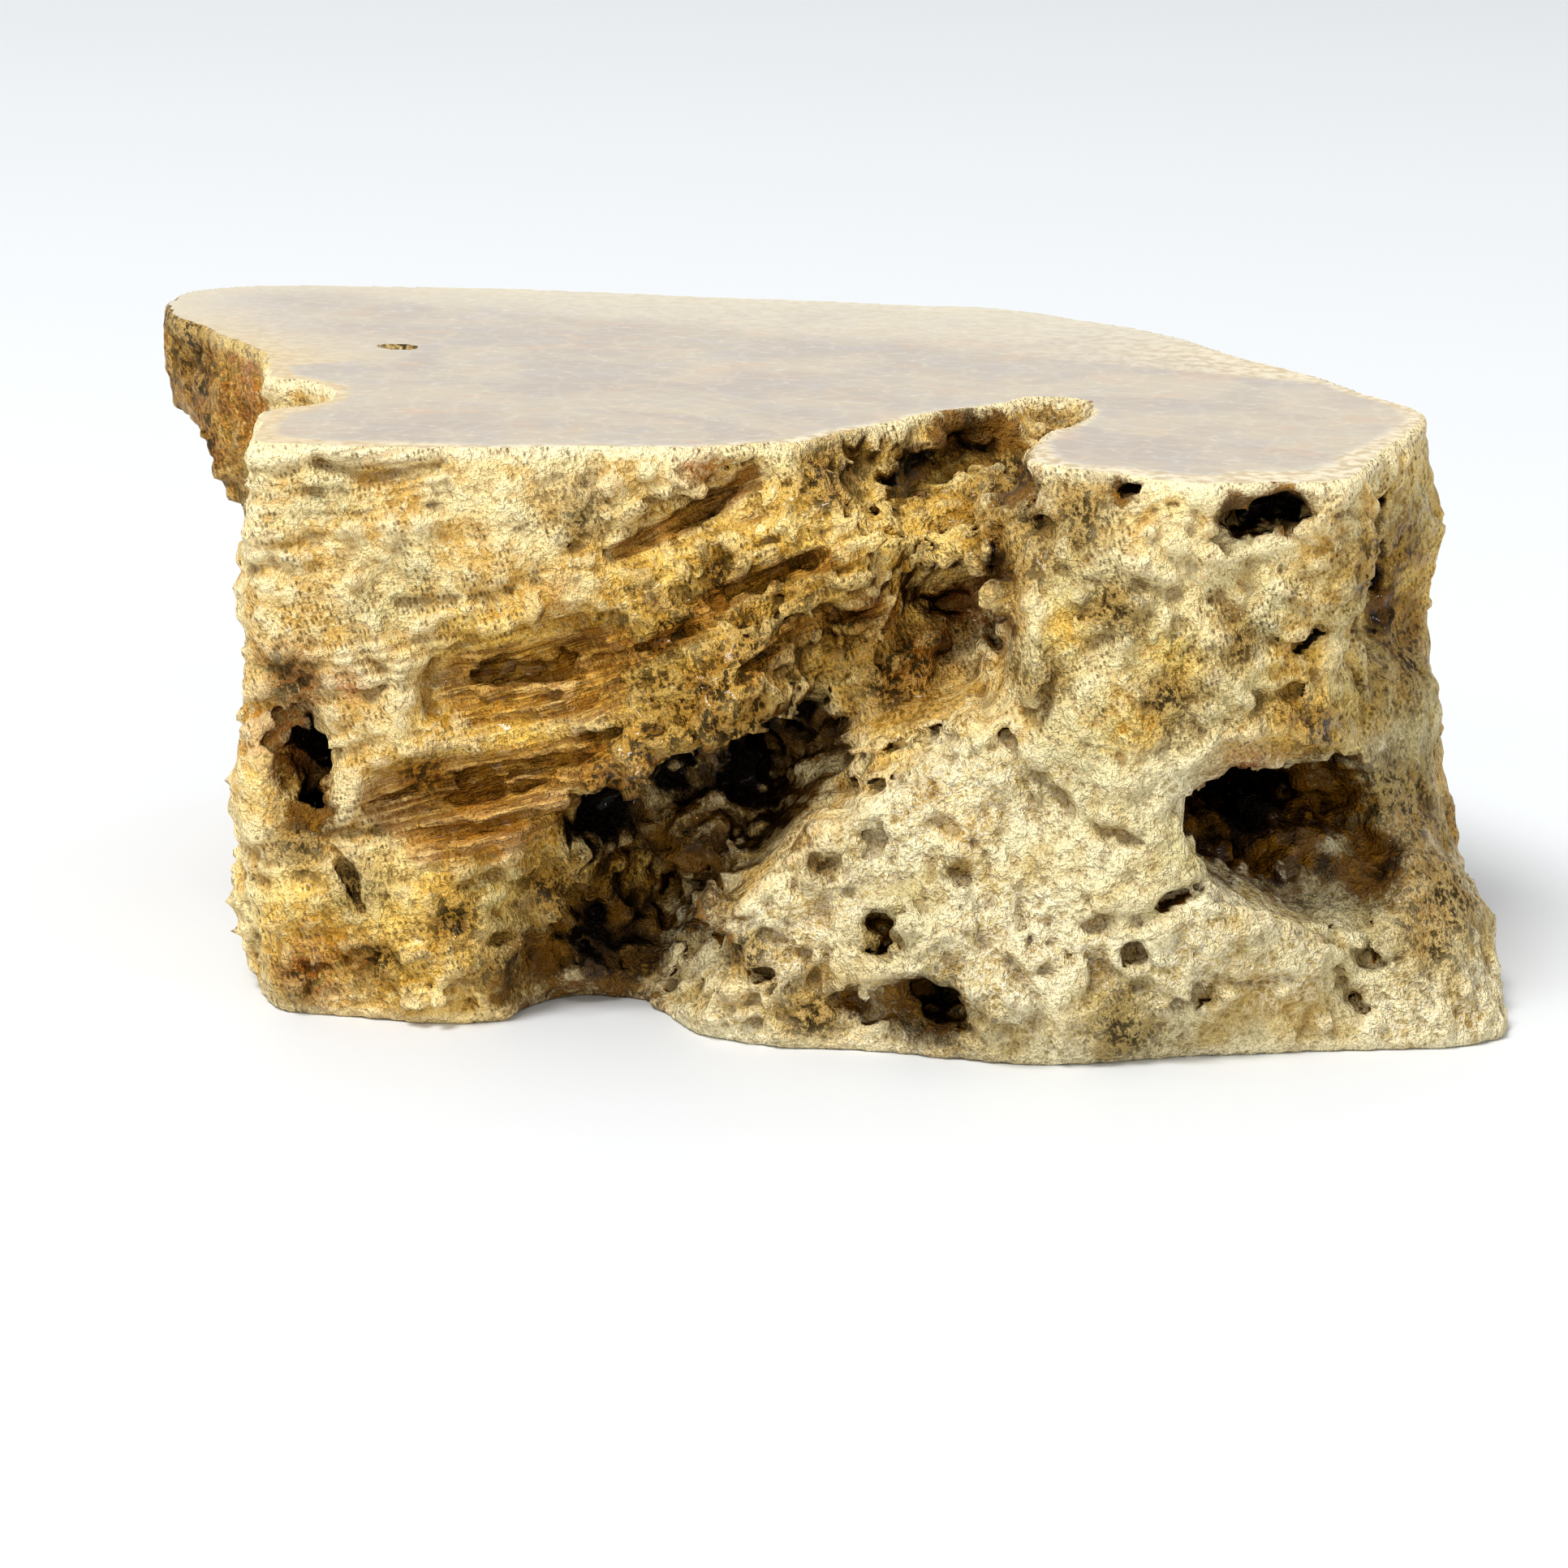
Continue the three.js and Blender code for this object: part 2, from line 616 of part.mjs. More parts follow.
const agate = new THREE.MeshStandardMaterial({ color: 0xc9a45c, roughness: 0.7, metalness: 0 });
const fossilCoral = new THREE.Mesh(geometryOf(stone), agate);
fossilCoral.name = "fossil_coral";
fossilCoral.position.set(-LENGTH_MIDDLE, -DEPTH_MIDDLE, 0);

const part = new THREE.Group();
part.add(fossilCoral);

export default part;
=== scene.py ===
"""Fossil coral block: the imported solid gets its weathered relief, its pored and wet agate finish,
a polished top and a sawn foot, and stands on a pale studio floor.

The relief is worked in the block's own frame, in millimetres: X along the front, Y from the front
into the block, Z up from the foot. BLOCK_TO_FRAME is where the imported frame's origin lies in it.
"""

import math

import bmesh
import bpy
import numpy as np
import openvdb
from mathutils import Euler, Matrix, Vector


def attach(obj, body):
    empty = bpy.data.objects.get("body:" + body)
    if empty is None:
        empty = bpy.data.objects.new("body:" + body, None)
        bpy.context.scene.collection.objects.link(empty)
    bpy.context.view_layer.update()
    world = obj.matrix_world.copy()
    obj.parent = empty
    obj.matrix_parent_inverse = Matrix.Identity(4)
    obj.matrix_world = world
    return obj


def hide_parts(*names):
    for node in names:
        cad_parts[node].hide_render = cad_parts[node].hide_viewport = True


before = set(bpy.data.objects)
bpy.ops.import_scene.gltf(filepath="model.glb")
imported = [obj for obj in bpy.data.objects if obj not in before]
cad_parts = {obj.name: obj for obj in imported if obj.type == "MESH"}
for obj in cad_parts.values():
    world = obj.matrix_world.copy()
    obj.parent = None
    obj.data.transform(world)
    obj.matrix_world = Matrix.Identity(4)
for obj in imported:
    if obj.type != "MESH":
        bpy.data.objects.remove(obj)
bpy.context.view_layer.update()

MM = 0.001
BLOCK_TO_FRAME = np.array([1.1, 39.2, 0.0])
THICKNESS = 52.0

# The grid of distances that the relief is worked in
VOXEL = 0.5
GRID_LOW = np.array([-68.0, -20.0, -5.0])
GRID_HIGH = np.array([70.0, 98.0, 57.0])
BAND_VOXELS = 6
FLAT_MARGIN = 4.5  # how far both flats are carried past their planes while the rim is rounded
FACE_SOFTENING = 1.1  # how far the solid's faces are rounded together
FRONT_DEEP = 14.0  # how far in from the block's edge counts as its front
RELIEF_BAND = 2.6  # how near the surface the relief is worked in
FLAT_SNAP = 0.12  # points this near a flat are laid on it

MOST_FACES = 196_000
SMALL_PITS = 320
GLASSY_BEADS = 420

# How far round a point the stone is looked for, to find how sheltered it lies
SHELTER_LIFT = 3.0
SHELTER_WAYS = 36
SHELTER_STEPS = (0.0, 2.0, 4.0, 6.5, 9.5, 13.0, 17.0, 22.0)

# The camera: eye in the block's frame, tilt and roll in degrees, lens in pixels of the render
EYE = (0.0, -450.0, 132.0)
EYE_PITCH, EYE_ROLL = 13.72, 1.2
FOCAL_PIXELS, RENDER_SIDE = 6465.0, 1932.0
SENSOR = 36.0

# How bright the room is in front of the block and behind it, and where the lights aim in metres
ROOM_FRONT, ROOM_BACK = 0.42, 0.95
BLOCK_MIDDLE = (0.0, 0.0, 0.02)

# The noise's own axes lie askew to the block, so that no line of it follows a face
NOISE_TURN = np.array(Euler((0.6, 0.4, 0.9)).to_matrix(), np.float32)


# ---------------------------------------------------------------- lattice noise
def value_noise(x, y, z, size, seed):
    """Smooth noise from -1 to 1 with bumps about size mm across; each seed is another pattern."""
    # values on a repeating lattice of 64 x 64 x 64 places, blended between the eight nearest
    table = np.random.default_rng(seed).uniform(-1.0, 1.0, 64 * 64 * 64).astype(np.float32)
    parts = []
    for a, b, c in NOISE_TURN:
        scaled = (a * x + b * y + c * z) / size + 17.3
        cell = np.floor(scaled)
        share = (scaled - cell).astype(np.float32)
        share = share * share * (3.0 - 2.0 * share)
        cell = cell.astype(np.int32)
        parts.append((cell & 63, (cell + 1) & 63, share))
    (x0, x1, fx), (y0, y1, fy), (z0, z1, fz) = parts

    def row(iy, iz):
        base = iy * 64 + iz * 4096
        low = table[base + x0]
        return low + fx * (table[base + x1] - low)

    near = row(y0, z0)
    near += fy * (row(y1, z0) - near)
    far = row(y0, z1)
    far += fy * (row(y1, z1) - far)
    return near + fz * (far - near)


def smooth_step(low, high, value):
    t = np.clip((value - low) / (high - low), 0.0, 1.0)
    return t * t * (3.0 - 2.0 * t)


def bedding_height(x, y, z):
    """Height across the coral's growth layers, which climb to the right ever more steeply."""
    along = x + 45.0
    return z - 0.16 * along - 0.0032 * along * along + 0.04 * y


# ---------------------------------------------------------------- the grid of distances
class Stone:
    """Distances to the stone's surface in mm on a regular grid, less than nothing inside it."""

    def __init__(self, node):
        self.shape = np.round((GRID_HIGH - GRID_LOW) / VOXEL).astype(int) + 1
        self.axes = [
            (GRID_LOW[i] + VOXEL * np.arange(self.shape[i])).astype(np.float32) for i in range(3)
        ]
        self.field = self.distances_of(node)

    def distances_of(self, node):
        work = bmesh.new()
        work.from_mesh(node.data)
        bmesh.ops.remove_doubles(work, verts=work.verts, dist=1e-6)
        points = np.array([v.co[:] for v in work.verts]) / MM + BLOCK_TO_FRAME
        triangles = np.array([[v.index for v in f.verts] for f in work.faces], dtype=np.uint32)
        work.free()
        # so that softening leaves the flats' edges sharp
        points[points[:, 2] > THICKNESS - 0.01, 2] += FLAT_MARGIN
        points[points[:, 2] < 0.01, 2] -= FLAT_MARGIN
        transform = openvdb.createLinearTransform(voxelSize=VOXEL)
        level_set = openvdb.FloatGrid.createLevelSetFromPolygons(
            points.astype(np.float32),
            triangles=triangles,
            transform=transform,
            halfWidth=BAND_VOXELS,
        )
        field = np.empty(tuple(self.shape), np.float32)
        level_set.copyToArray(field, ijk=tuple(int(round(v / VOXEL)) for v in GRID_LOW))
        return field

    def window(self, low, high):
        """The slices of the grid between two corners in mm."""
        cuts = []
        for i in range(3):
            first = int(np.floor((low[i] - GRID_LOW[i]) / VOXEL))
            last = int(np.ceil((high[i] - GRID_LOW[i]) / VOXEL)) + 1
            cuts.append(slice(max(first, 0), min(last, self.shape[i])))
        return tuple(cuts)

    def ball(self, at, half, margin, turn_y=0.0):
        """The window about an egg shape and the distances to it there."""
        at = np.asarray(at, np.float32)
        half = np.asarray(half, np.float32)
        reach = float(half.max()) + margin
        window = self.window(at - reach, at + reach)
        x = self.axes[0][window[0]][:, None, None] - at[0]
        y = self.axes[1][window[1]][None, :, None] - at[1]
        z = self.axes[2][window[2]][None, None, :] - at[2]
        if turn_y:
            c, s = math.cos(turn_y), math.sin(turn_y)
            x, z = x * c + z * s, z * c - x * s
        near = np.sqrt((x / half[0]) ** 2 + (y / half[1]) ** 2 + (z / half[2]) ** 2)
        steep = (x / half[0] ** 2) ** 2 + (y / half[1] ** 2) ** 2 + (z / half[2] ** 2) ** 2
        steep = np.sqrt(steep)
        return window, near * (near - 1.0) / np.maximum(steep, 1e-4)

    def face_at(self, x, z):
        """How deep the first stone lies behind the front at (x, z)."""
        i = int(round((x - GRID_LOW[0]) / VOXEL))
        k = int(round((z - GRID_LOW[2]) / VOXEL))
        solid = np.nonzero(self.field[i, :, k] < 0.0)[0]
        return float(self.axes[1][solid[0]]) if len(solid) else 20.0

    def gouge(self, path, half_high, deep):
        """Cuts a groove of uneven depth along a path of (x, z) points of the front."""
        random = np.random.default_rng(int(1000 + 10 * abs(path[0][0]) + path[0][1]))
        path = np.asarray(path, float)
        legs = np.hypot(*np.diff(path, axis=0).T)
        reached = np.concatenate([[0.0], np.cumsum(legs)])
        stops = np.linspace(0.0, reached[-1], max(int(reached[-1] / 0.6), 3))
        x = np.interp(stops, reached, path[:, 0])
        z = np.interp(stops, reached, path[:, 1])
        y = np.array([self.face_at(a, b) for a, b in zip(x, z)])
        y = np.convolve(np.pad(y, 3, mode="edge"), np.ones(7) / 7.0, mode="valid")
        lean = np.arctan2(np.gradient(z), np.gradient(x))
        for i, t in enumerate(stops / reached[-1]):
            size = (1.0 - (2.0 * t - 1.0) ** 4) ** 0.5 + 0.25
            size *= 1.0 + 0.5 * random.uniform(-1.0, 1.0)
            half = (half_high * 1.5, deep * size, half_high * size)
            self.carve((x[i], y[i] + 0.15 * deep, z[i]), half, blend=0.5, turn_y=lean[i])

    def heap(self, at, half, blend=0.5, **turns):
        """Adds an egg-shaped lump whose foot runs into the stone over blend mm."""
        window, lump = self.ball(at, half, 1.0 + blend, **turns)
        stone = self.field[window]
        overlap = np.clip(blend - np.abs(stone - lump), 0.0, None) / blend
        self.field[window] = np.minimum(stone, lump) - overlap * overlap * blend * 0.25

    def carve(self, at, half, blend=0.4, ragged=0.0, **turns):
        """Takes out an egg-shaped pit whose lip is rounded over blend mm."""
        window, pit = self.ball(at, half, 1.0 + blend + ragged, **turns)
        if ragged:
            x = self.axes[0][window[0]][:, None, None]
            y = self.axes[1][window[1]][None, :, None]
            z = self.axes[2][window[2]][None, None, :]
            pit = pit + ragged * value_noise(x, y, z, 3.2, 41)
            pit += 0.6 * ragged * value_noise(x, y, z, 1.5, 42)
        stone = self.field[window]
        overlap = np.clip(blend - np.abs(stone + pit), 0.0, None) / blend
        self.field[window] = np.maximum(stone, -pit) + overlap * overlap * blend * 0.25

    def press(self, path, width, out):
        """Raises (or, with out below nothing, sinks) the front along a path of (x, z) points."""
        path = np.asarray(path, np.float32)
        low = (path[:, 0].min() - width, -20.0, path[:, 1].min() - width)
        high = (path[:, 0].max() + width, FRONT_DEEP, path[:, 1].max() + width)
        window = self.window(low, high)
        x, z = np.meshgrid(self.axes[0][window[0]], self.axes[2][window[2]], indexing="ij")
        nearest = near_path(path, x, z)
        bump = out * (1.0 - smooth_step(0.15 * width, width, nearest))
        self.field[window] -= bump[:, None, :]

    def soften(self, reach):
        """Rounds the surface by a Gaussian of that reach in mm."""
        self.field = blur(self.field, reach / VOXEL)

    def band(self, width):
        """Grid places within width mm of the surface, as index arrays and as points."""
        places = np.nonzero(np.abs(self.field) < width)
        points = [self.axes[i][places[i]] for i in range(3)]
        return places, points


def blur(field, sigma):
    """The grid rounded by a Gaussian of sigma grid places."""
    radius = int(math.ceil(sigma * 3.0))
    kernel = np.exp(-0.5 * (np.arange(-radius, radius + 1) / sigma) ** 2)
    kernel = (kernel / kernel.sum()).astype(np.float32)
    for axis in range(3):
        pad = [(0, 0)] * 3
        pad[axis] = (radius, radius)
        padded = np.pad(field, pad, mode="edge")
        result = np.zeros_like(field)
        for step, weight in enumerate(kernel):
            cut = [slice(None)] * 3
            cut[axis] = slice(step, step + field.shape[axis])
            result += weight * padded[tuple(cut)]
        field = result
    return field


def coarse(field):
    """The same grid with places twice as far apart."""
    x, y, z = (n // 2 for n in field.shape)
    return field[: 2 * x, : 2 * y, : 2 * z].reshape(x, 2, y, 2, z, 2).mean(axis=(1, 3, 5))


def sample(field, points, voxel=VOXEL):
    """The grid's values at points in mm, between grid places."""
    low, share = [], []
    for i in range(3):
        start = GRID_LOW[i] + (voxel - VOXEL) / 2.0
        place = np.clip((points[:, i] - start) / voxel, 0.0, field.shape[i] - 1.001)
        low.append(place.astype(np.int32))
        share.append((place - low[i]).astype(np.float32))
    total = np.zeros(len(points), np.float32)
    for corner in range(8):
        bits = [(corner >> i) & 1 for i in range(3)]
        weight = np.ones(len(points), np.float32)
        for i in range(3):
            weight *= share[i] if bits[i] else 1.0 - share[i]
        total += weight * field[low[0] + bits[0], low[1] + bits[1], low[2] + bits[2]]
    return total


def plan_sample(slab, points):
    """Values of a slab that is the same at every height."""
    level = points.copy()
    level[:, 2] = GRID_LOW[2] + VOXEL
    return sample(slab, level)


def shelter_of(field, points, normals):
    """Share of the view out of each point that the stone itself blocks: 0 open, 1 deep inside."""
    solid = coarse((field < 0.0).astype(np.float32)) > 0.5
    start = points + normals * SHELTER_LIFT
    random = np.random.default_rng(5)
    ways = random.normal(size=(SHELTER_WAYS, 3))
    ways /= np.linalg.norm(ways, axis=1)[:, None]
    blocked = np.zeros(len(points), np.float32)
    total = np.zeros(len(points), np.float32)
    for way in ways:
        weight = np.clip(normals @ way, 0.0, None).astype(np.float32)
        hit = np.zeros(len(points), bool)
        for reach in SHELTER_STEPS:
            place = ((start + way * reach - GRID_LOW) / (2.0 * VOXEL)).astype(np.int32)
            for i in range(3):
                np.clip(place[:, i], 0, solid.shape[i] - 1, out=place[:, i])
            hit |= solid[place[:, 0], place[:, 1], place[:, 2]]
        blocked += weight * hit
        total += weight
    return blocked / total


# ---------------------------------------------------------------- forms of the weathered front
# Grooves with dark, striped walls: path of (x, z), half height, depth.
FURROWS = [
    ([(-28.6, 30.8), (-25.0, 31.3), (-21.0, 31.6), (-16.6, 32.0)], 0.9, 0.7),
    ([(-28.0, 32.2), (-24.0, 33.0), (-20.0, 33.6), (-15.0, 34.8)], 0.4, 0.8),
    ([(-27.0, 29.5), (-23.0, 30.0), (-19.0, 30.6), (-16.0, 31.2)], 0.35, 0.6),
    ([(-35.0, 20.4), (-31.0, 22.0), (-26.0, 22.8), (-20.5, 24.0), (-17.0, 25.4)], 0.5, 0.9),
    ([(-33.5, 18.8), (-28.5, 20.2), (-21.5, 22.0)], 0.4, 0.8),
    ([(-31.5, 17.0), (-26.5, 18.4), (-20.0, 20.2)], 0.45, 0.8),
    ([(-3.4, 49.0), (-6.4, 46.9), (-10.7, 44.6), (-14.6, 43.0)], 0.6, 1.1),
    ([(3.2, 42.6), (-2.0, 41.0), (-7.4, 38.2)], 0.6, 1.1),
    ([(-14.6, 33.6), (-10.6, 35.6), (-7.0, 37.6)], 0.5, 0.8),
    ([(-3.2, 33.4), (-0.6, 35.8), (3.4, 37.0), (8.0, 37.6)], 0.7, 1.2),
]

# How far the stripes reach to each side of a furrow.
STRIPED_REACH = [3.2, 2.8, 3.4, 3.6, 3.4, 3.4, 1.5, 1.5, 1.4, 1.4]

# Cracks: the same, but without the stripes.
CRACKS = [
    ([(38.0, 33.6), (41.0, 32.8), (45.4, 33.6)], 0.4, 0.6),
    ([(31.0, 14.0), (33.7, 15.6), (36.6, 16.8)], 0.4, 1.8),
    ([(48.6, 8.4), (50.3, 5.1), (51.9, 3.0)], 0.35, 1.6),
    ([(-39.6, 15.8), (-37.9, 12.8), (-36.5, 9.6)], 0.5, 0.7),
    ([(-42.5, 4.4), (-38.9, 5.9), (-35.7, 5.8)], 0.4, 0.6),
    ([(-27.4, 9.0), (-25.5, 8.2), (-23.0, 8.2)], 0.4, 0.7),
]

# The apron's rounded upper edge, smoother than the rest
CREST = [(-7.4, 9.4), (-2.4, 13.6), (2.0, 20.0), (7.0, 24.4), (13.5, 27.4), (19.0, 29.8)]

# Softer grooves and ribs: path of (x, z), half width, how far out.
FRONT_LINES = [
    # shelly upper left
    ([(-41, 50.3), (-38, 49.2), (-34.5, 49.4), (-30, 50.8)], 1.1, -0.8),
    ([(-39.5, 51.2), (-31, 51.6)], 1.4, 0.7),
    ([(-41, 47.8), (-34.5, 47.6), (-28.7, 48.9)], 1.1, -0.5),
    ([(-47, 40.6), (-45.2, 41.6), (-43.2, 40.8)], 0.9, -0.9),
    ([(-38, 44.6), (-31, 45.2), (-24, 46.6)], 1.6, 0.45),
    ([(-34, 38.2), (-28, 38.6), (-22, 40.6)], 1.0, -0.6),
    # the smooth fan above the long furrow
    ([(-25.5, 36.0), (-21.4, 37.8), (-18, 39.2)], 2.2, 0.9),
    # the long furrow itself, round at its left end
    ([(-28.4, 31.2), (-24.5, 31.7), (-20, 32.2), (-16, 33)], 2.0, -1.2),
    ([(-28.4, 32), (-28, 30)], 1.3, -0.8),
    ([(-33.5, 29.4), (-33, 33.2)], 2.4, 1.5),
    ([(-28, 30.2), (-24, 30.7), (-19, 31.2), (-15, 31.8)], 0.7, 0.9),
    ([(-28.2, 32.2), (-24, 32.9), (-19, 33.6), (-14.8, 34.8)], 0.7, 0.7),
    ([(-28.6, 33.4), (-24, 34.6), (-18, 35.4)], 0.6, 0.5),
    # the broad striped hollow under it
    ([(-31.5, 18.8), (-26, 20.2), (-19.5, 22)], 3.4, -1.0),
    ([(-38.5, 19.6), (-37.6, 22.4)], 2.2, 0.8),
    ([(-33.5, 20.2), (-27, 21.6), (-19.5, 23.4)], 0.7, 0.6),
    ([(-32, 18.2), (-26, 19.6), (-19.5, 21.4)], 0.7, 0.6),
    # the tongue in the long furrow
    ([(-26.3, 29.9), (-22, 30.6), (-17.6, 31.8)], 1.2, 0.7),
    ([(-27.5, 27.4), (-22, 28.2), (-17, 29.8)], 0.9, -0.6),
    # under the lower furrow
    ([(-26.6, 18.9), (-23.4, 19.4), (-20.6, 20.8)], 1.5, 0.9),
    ([(-23.7, 17.6), (-23.7, 14.2)], 1.7, 0.8),
    ([(-40, 17.4), (-33.6, 17.3), (-28.5, 16.2)], 1.0, -0.7),
    ([(-34, 12.6), (-29, 11.6), (-25, 12.6)], 1.5, 0.6),
    # under the rim, left of the notch
    ([(-7.8, 43.2), (-3.5, 44.4), (1.5, 45.8)], 1.2, 0.8),
    # the brow over the cave
    ([(-19.6, 22.2), (-14.6, 26), (-8.3, 29.4), (-2.7, 32.6)], 1.4, 1.0),
    ([(-17, 27.2), (-12, 28.2), (-7, 30)], 0.9, -0.6),
    # the pillar
    ([(22, 44.5), (25, 43), (29, 43.6), (33, 42)], 1.1, -0.7),
    ([(33, 46.6), (37, 45.6), (41, 46.4)], 1.3, 0.7),
    ([(20.8, 45), (20.8, 40), (21, 33)], 1.5, 1.1),
    ([(18.2, 45.4), (18.4, 40), (18.6, 34)], 1.0, -1.2),
    ([(36.6, 41.5), (39, 38.6), (42, 37.6)], 1.3, -0.8),
    # the arch over the right vug
    ([(34.6, 27.6), (37.4, 30), (42.2, 30.4), (48.8, 27.8), (52, 25)], 1.3, 0.9),
    # the apron's crest and folds
    ([(-11.6, 1.0)] + CREST, 1.3, 0.6),
    ([(4, 25), (8, 26.6), (12, 28.6), (16, 30)], 1.4, 1.5),
    ([(36, 8.8), (40, 7.4), (45, 7.6)], 0.9, -0.8),
    ([(14, 21.6), (17, 18.6), (18, 14.6)], 1.2, -0.9),
    ([(22, 25.6), (26, 22), (31, 20.6)], 1.1, -0.8),
    ([(-1.6, 10.6), (2.4, 8.4), (3.6, 4)], 1.2, -0.8),
    ([(19.6, 9.8), (22.4, 7), (22, 3.4)], 1.1, -0.8),
]

# Pits of the front: (x, z), half sizes along x, inwards and up, turn about Y in degrees.
FRONT_PITS = [
    ((-43.8, 24.6), (2.0, 1.6, 4.4), 4),
    ((19.1, 29.0), (1.0, 2.0, 0.7), 20),
    ((7.5, 19.7), (1.2, 1.7, 0.9), 0),
    ((27.6, 13.2), (1.0, 1.0, 0.9), 0),
    ((35.8, 6.0), (1.7, 1.3, 1.3), -20),
    ((22.5, 9.4), (0.9, 0.9, 0.8), 0),
    ((52.0, 8.4), (1.4, 1.2, 1.0), 0),
    ((44.8, 37.4), (1.5, 1.8, 0.9), 20),
]

# Deep pockets: place, half sizes, turn about Y in degrees (rising to the right).
POCKETS = [
    # beside the notch in the top edge, with the bowl below it
    ((11.0, 15.6, 47.0), (3.4, 4.0, 1.9), 6),
    ((13.0, 8.6, 44.6), (4.6, 3.2, 3.0), -20),
    ((17.8, 21.6, 48.6), (5.6, 3.4, 2.4), 14),
    # roof of the middle recess
    ((14.2, 8.6, 36.4), (3.6, 2.4, 0.9), 0),
    ((17.6, -4.4, 38.4), (1.1, 2.6, 1.1), 20),
    # under the top edge of the pillar
    ((40.6, -8.6, 48.7), (4.4, 3.6, 1.6), 6),
    ((39.8, -12.0, 46.8), (3.8, 2.2, 2.2), 8),
    ((28.3, -9.0, 50.4), (3.0, 1.3, 0.7), 4),
    # the slot at the left
    ((-41.7, 3.0, 18.4), (1.2, 3.6, 3.4), 0),
    ((-41.7, 3.0, 24.0), (1.4, 4.6, 3.0), 0),
    # head, roof and left corner of the cave
    ((-2.6, 0.0, 26.4), (5.2, 9.0, 2.8), 24),
    ((-9.4, -2.0, 23.4), (5.0, 7.0, 3.0), 28),
    ((-15.4, -2.0, 19.6), (4.4, 7.0, 2.4), 26),
    ((-14.0, 3.0, 19.0), (5.4, 8.0, 2.2), 22),
    ((-16.5, 5.0, 7.4), (5.0, 6.0, 4.6), 0),
    ((-21.0, 0.0, 4.6), (2.8, 4.0, 2.6), 0),
    # the hollow at the foot of the apron
    ((13.2, -5.6, 5.2), (3.4, 3.2, 1.9), -8),
    ((7.6, -7.4, 4.4), (3.4, 1.7, 1.6), 0),
]

# Cups with a raised rim, on the apron: (x, z), how far from the middle to the rim.
CUPS = [
    ((8.6, 11.2), 3.4),
    ((-1.4, 7.0), 1.7),
    ((3.6, 17.0), 1.9),
    ((15.4, 17.6), 1.7),
    ((30.6, 10.6), 1.8),
]

# Lumps: (x, z), half sizes along x, outwards and up.
FRONT_LUMPS = [
    ((-43.8, 30.8), (3.2, 1.3, 1.9)),
    ((-38.0, 39.9), (1.7, 0.9, 0.8)),
    ((-32.0, 42.3), (1.4, 0.9, 0.7)),
    ((-42.7, 10.8), (2.4, 1.3, 1.7)),
    ((-37.9, 8.6), (2.2, 1.2, 1.3)),
    ((-31.7, 3.0), (2.4, 1.3, 1.5)),
    ((19.4, 40.4), (1.8, 0.9, 1.7)),
    ((46.4, 42.1), (1.8, 1.2, 1.8)),
    ((46.2, 36.6), (1.7, 1.2, 1.6)),
    ((42.8, 43.2), (1.5, 1.2, 1.2)),
    ((6.2, 12.6), (0.9, 1.1, 1.4)),
    ((11.0, 12.2), (0.9, 1.1, 1.6)),
    ((8.6, 9.0), (1.9, 1.1, 0.8)),
    # drips under the brow
    ((-16.4, 24.0), (1.4, 1.2, 1.5)),
    ((-12.4, 26.4), (1.7, 1.3, 1.8)),
    ((-9.8, 27.8), (1.3, 1.2, 1.5)),
    ((-6.6, 29.6), (1.6, 1.3, 1.5)),
    ((-20.0, 21.2), (1.5, 1.1, 1.2)),
    # glassy knobs on the walls of the hollows
    ((-1.0, 24.8), (2.2, 2.0, 2.0)),
    ((1.6, 22.4), (1.5, 1.6, 1.4)),
    ((-4.0, 20.4), (1.9, 1.8, 1.7)),
    ((-7.9, 14.2), (2.2, 2.0, 2.0)),
    ((-5.4, 11.6), (1.6, 1.6, 1.4)),
    ((-10.4, 17.0), (1.6, 1.6, 1.4)),
    ((-19.2, 2.9), (2.1, 1.8, 1.9)),
    ((-16.4, 4.4), (1.4, 1.4, 1.3)),
    ((-12.6, 8.7), (1.7, 1.6, 1.6)),
    ((-15.5, 5.9), (1.5, 1.4, 1.4)),
    ((-8.4, 4.4), (1.9, 1.6, 1.8)),
    ((-17.6, 9.4), (1.6, 1.4, 1.4)),
    ((39.7, 16.6), (2.0, 1.6, 1.8)),
    ((43.0, 20.0), (1.7, 1.6, 1.5)),
    ((44.6, 14.2), (1.8, 1.6, 1.6)),
    ((-42.2, 18.6), (1.0, 1.1, 0.9)),
    ((-41.2, 20.6), (0.9, 1.0, 0.8)),
    ((-41.8, 22.8), (0.9, 1.0, 0.8)),
    ((12.4, 33.4), (1.5, 1.4, 1.3)),
    ((8.4, 30.8), (1.7, 1.5, 1.4)),
    ((4.6, 28.4), (1.6, 1.5, 1.3)),
]


def ledges_of(x, y, z):
    """Stepped growth ledges and fine lamellae, strongest on the left of the front."""
    height = bedding_height(x, y, z) + 1.5 * value_noise(x, y, z, 15.0, 11)
    step = height / 2.7 + 0.5 * value_noise(x * 0.5, y, z, 6.0, 12)
    step -= np.floor(step)
    saw = np.where(step < 0.22, step / 0.22, (1.0 - step) / 0.78) - 0.5
    shelly = 1.0 - 0.72 * smooth_step(-2.0, 14.0, x)
    patchy = smooth_step(-0.45, 0.35, value_noise(x * 0.6, y, z * 1.2, 8.0, 13))
    fine = np.sin(height * (2.0 * math.pi / 1.4) + 2.2 * value_noise(x, y, z, 3.0, 15))
    striped = smooth_step(0.0, 0.6, value_noise(x * 0.5, y, z, 9.0, 14))
    fine *= striped * smooth_step(-44.0, -38.0, x)
    return shelly * (0.6 * saw * patchy + 0.2 * fine)


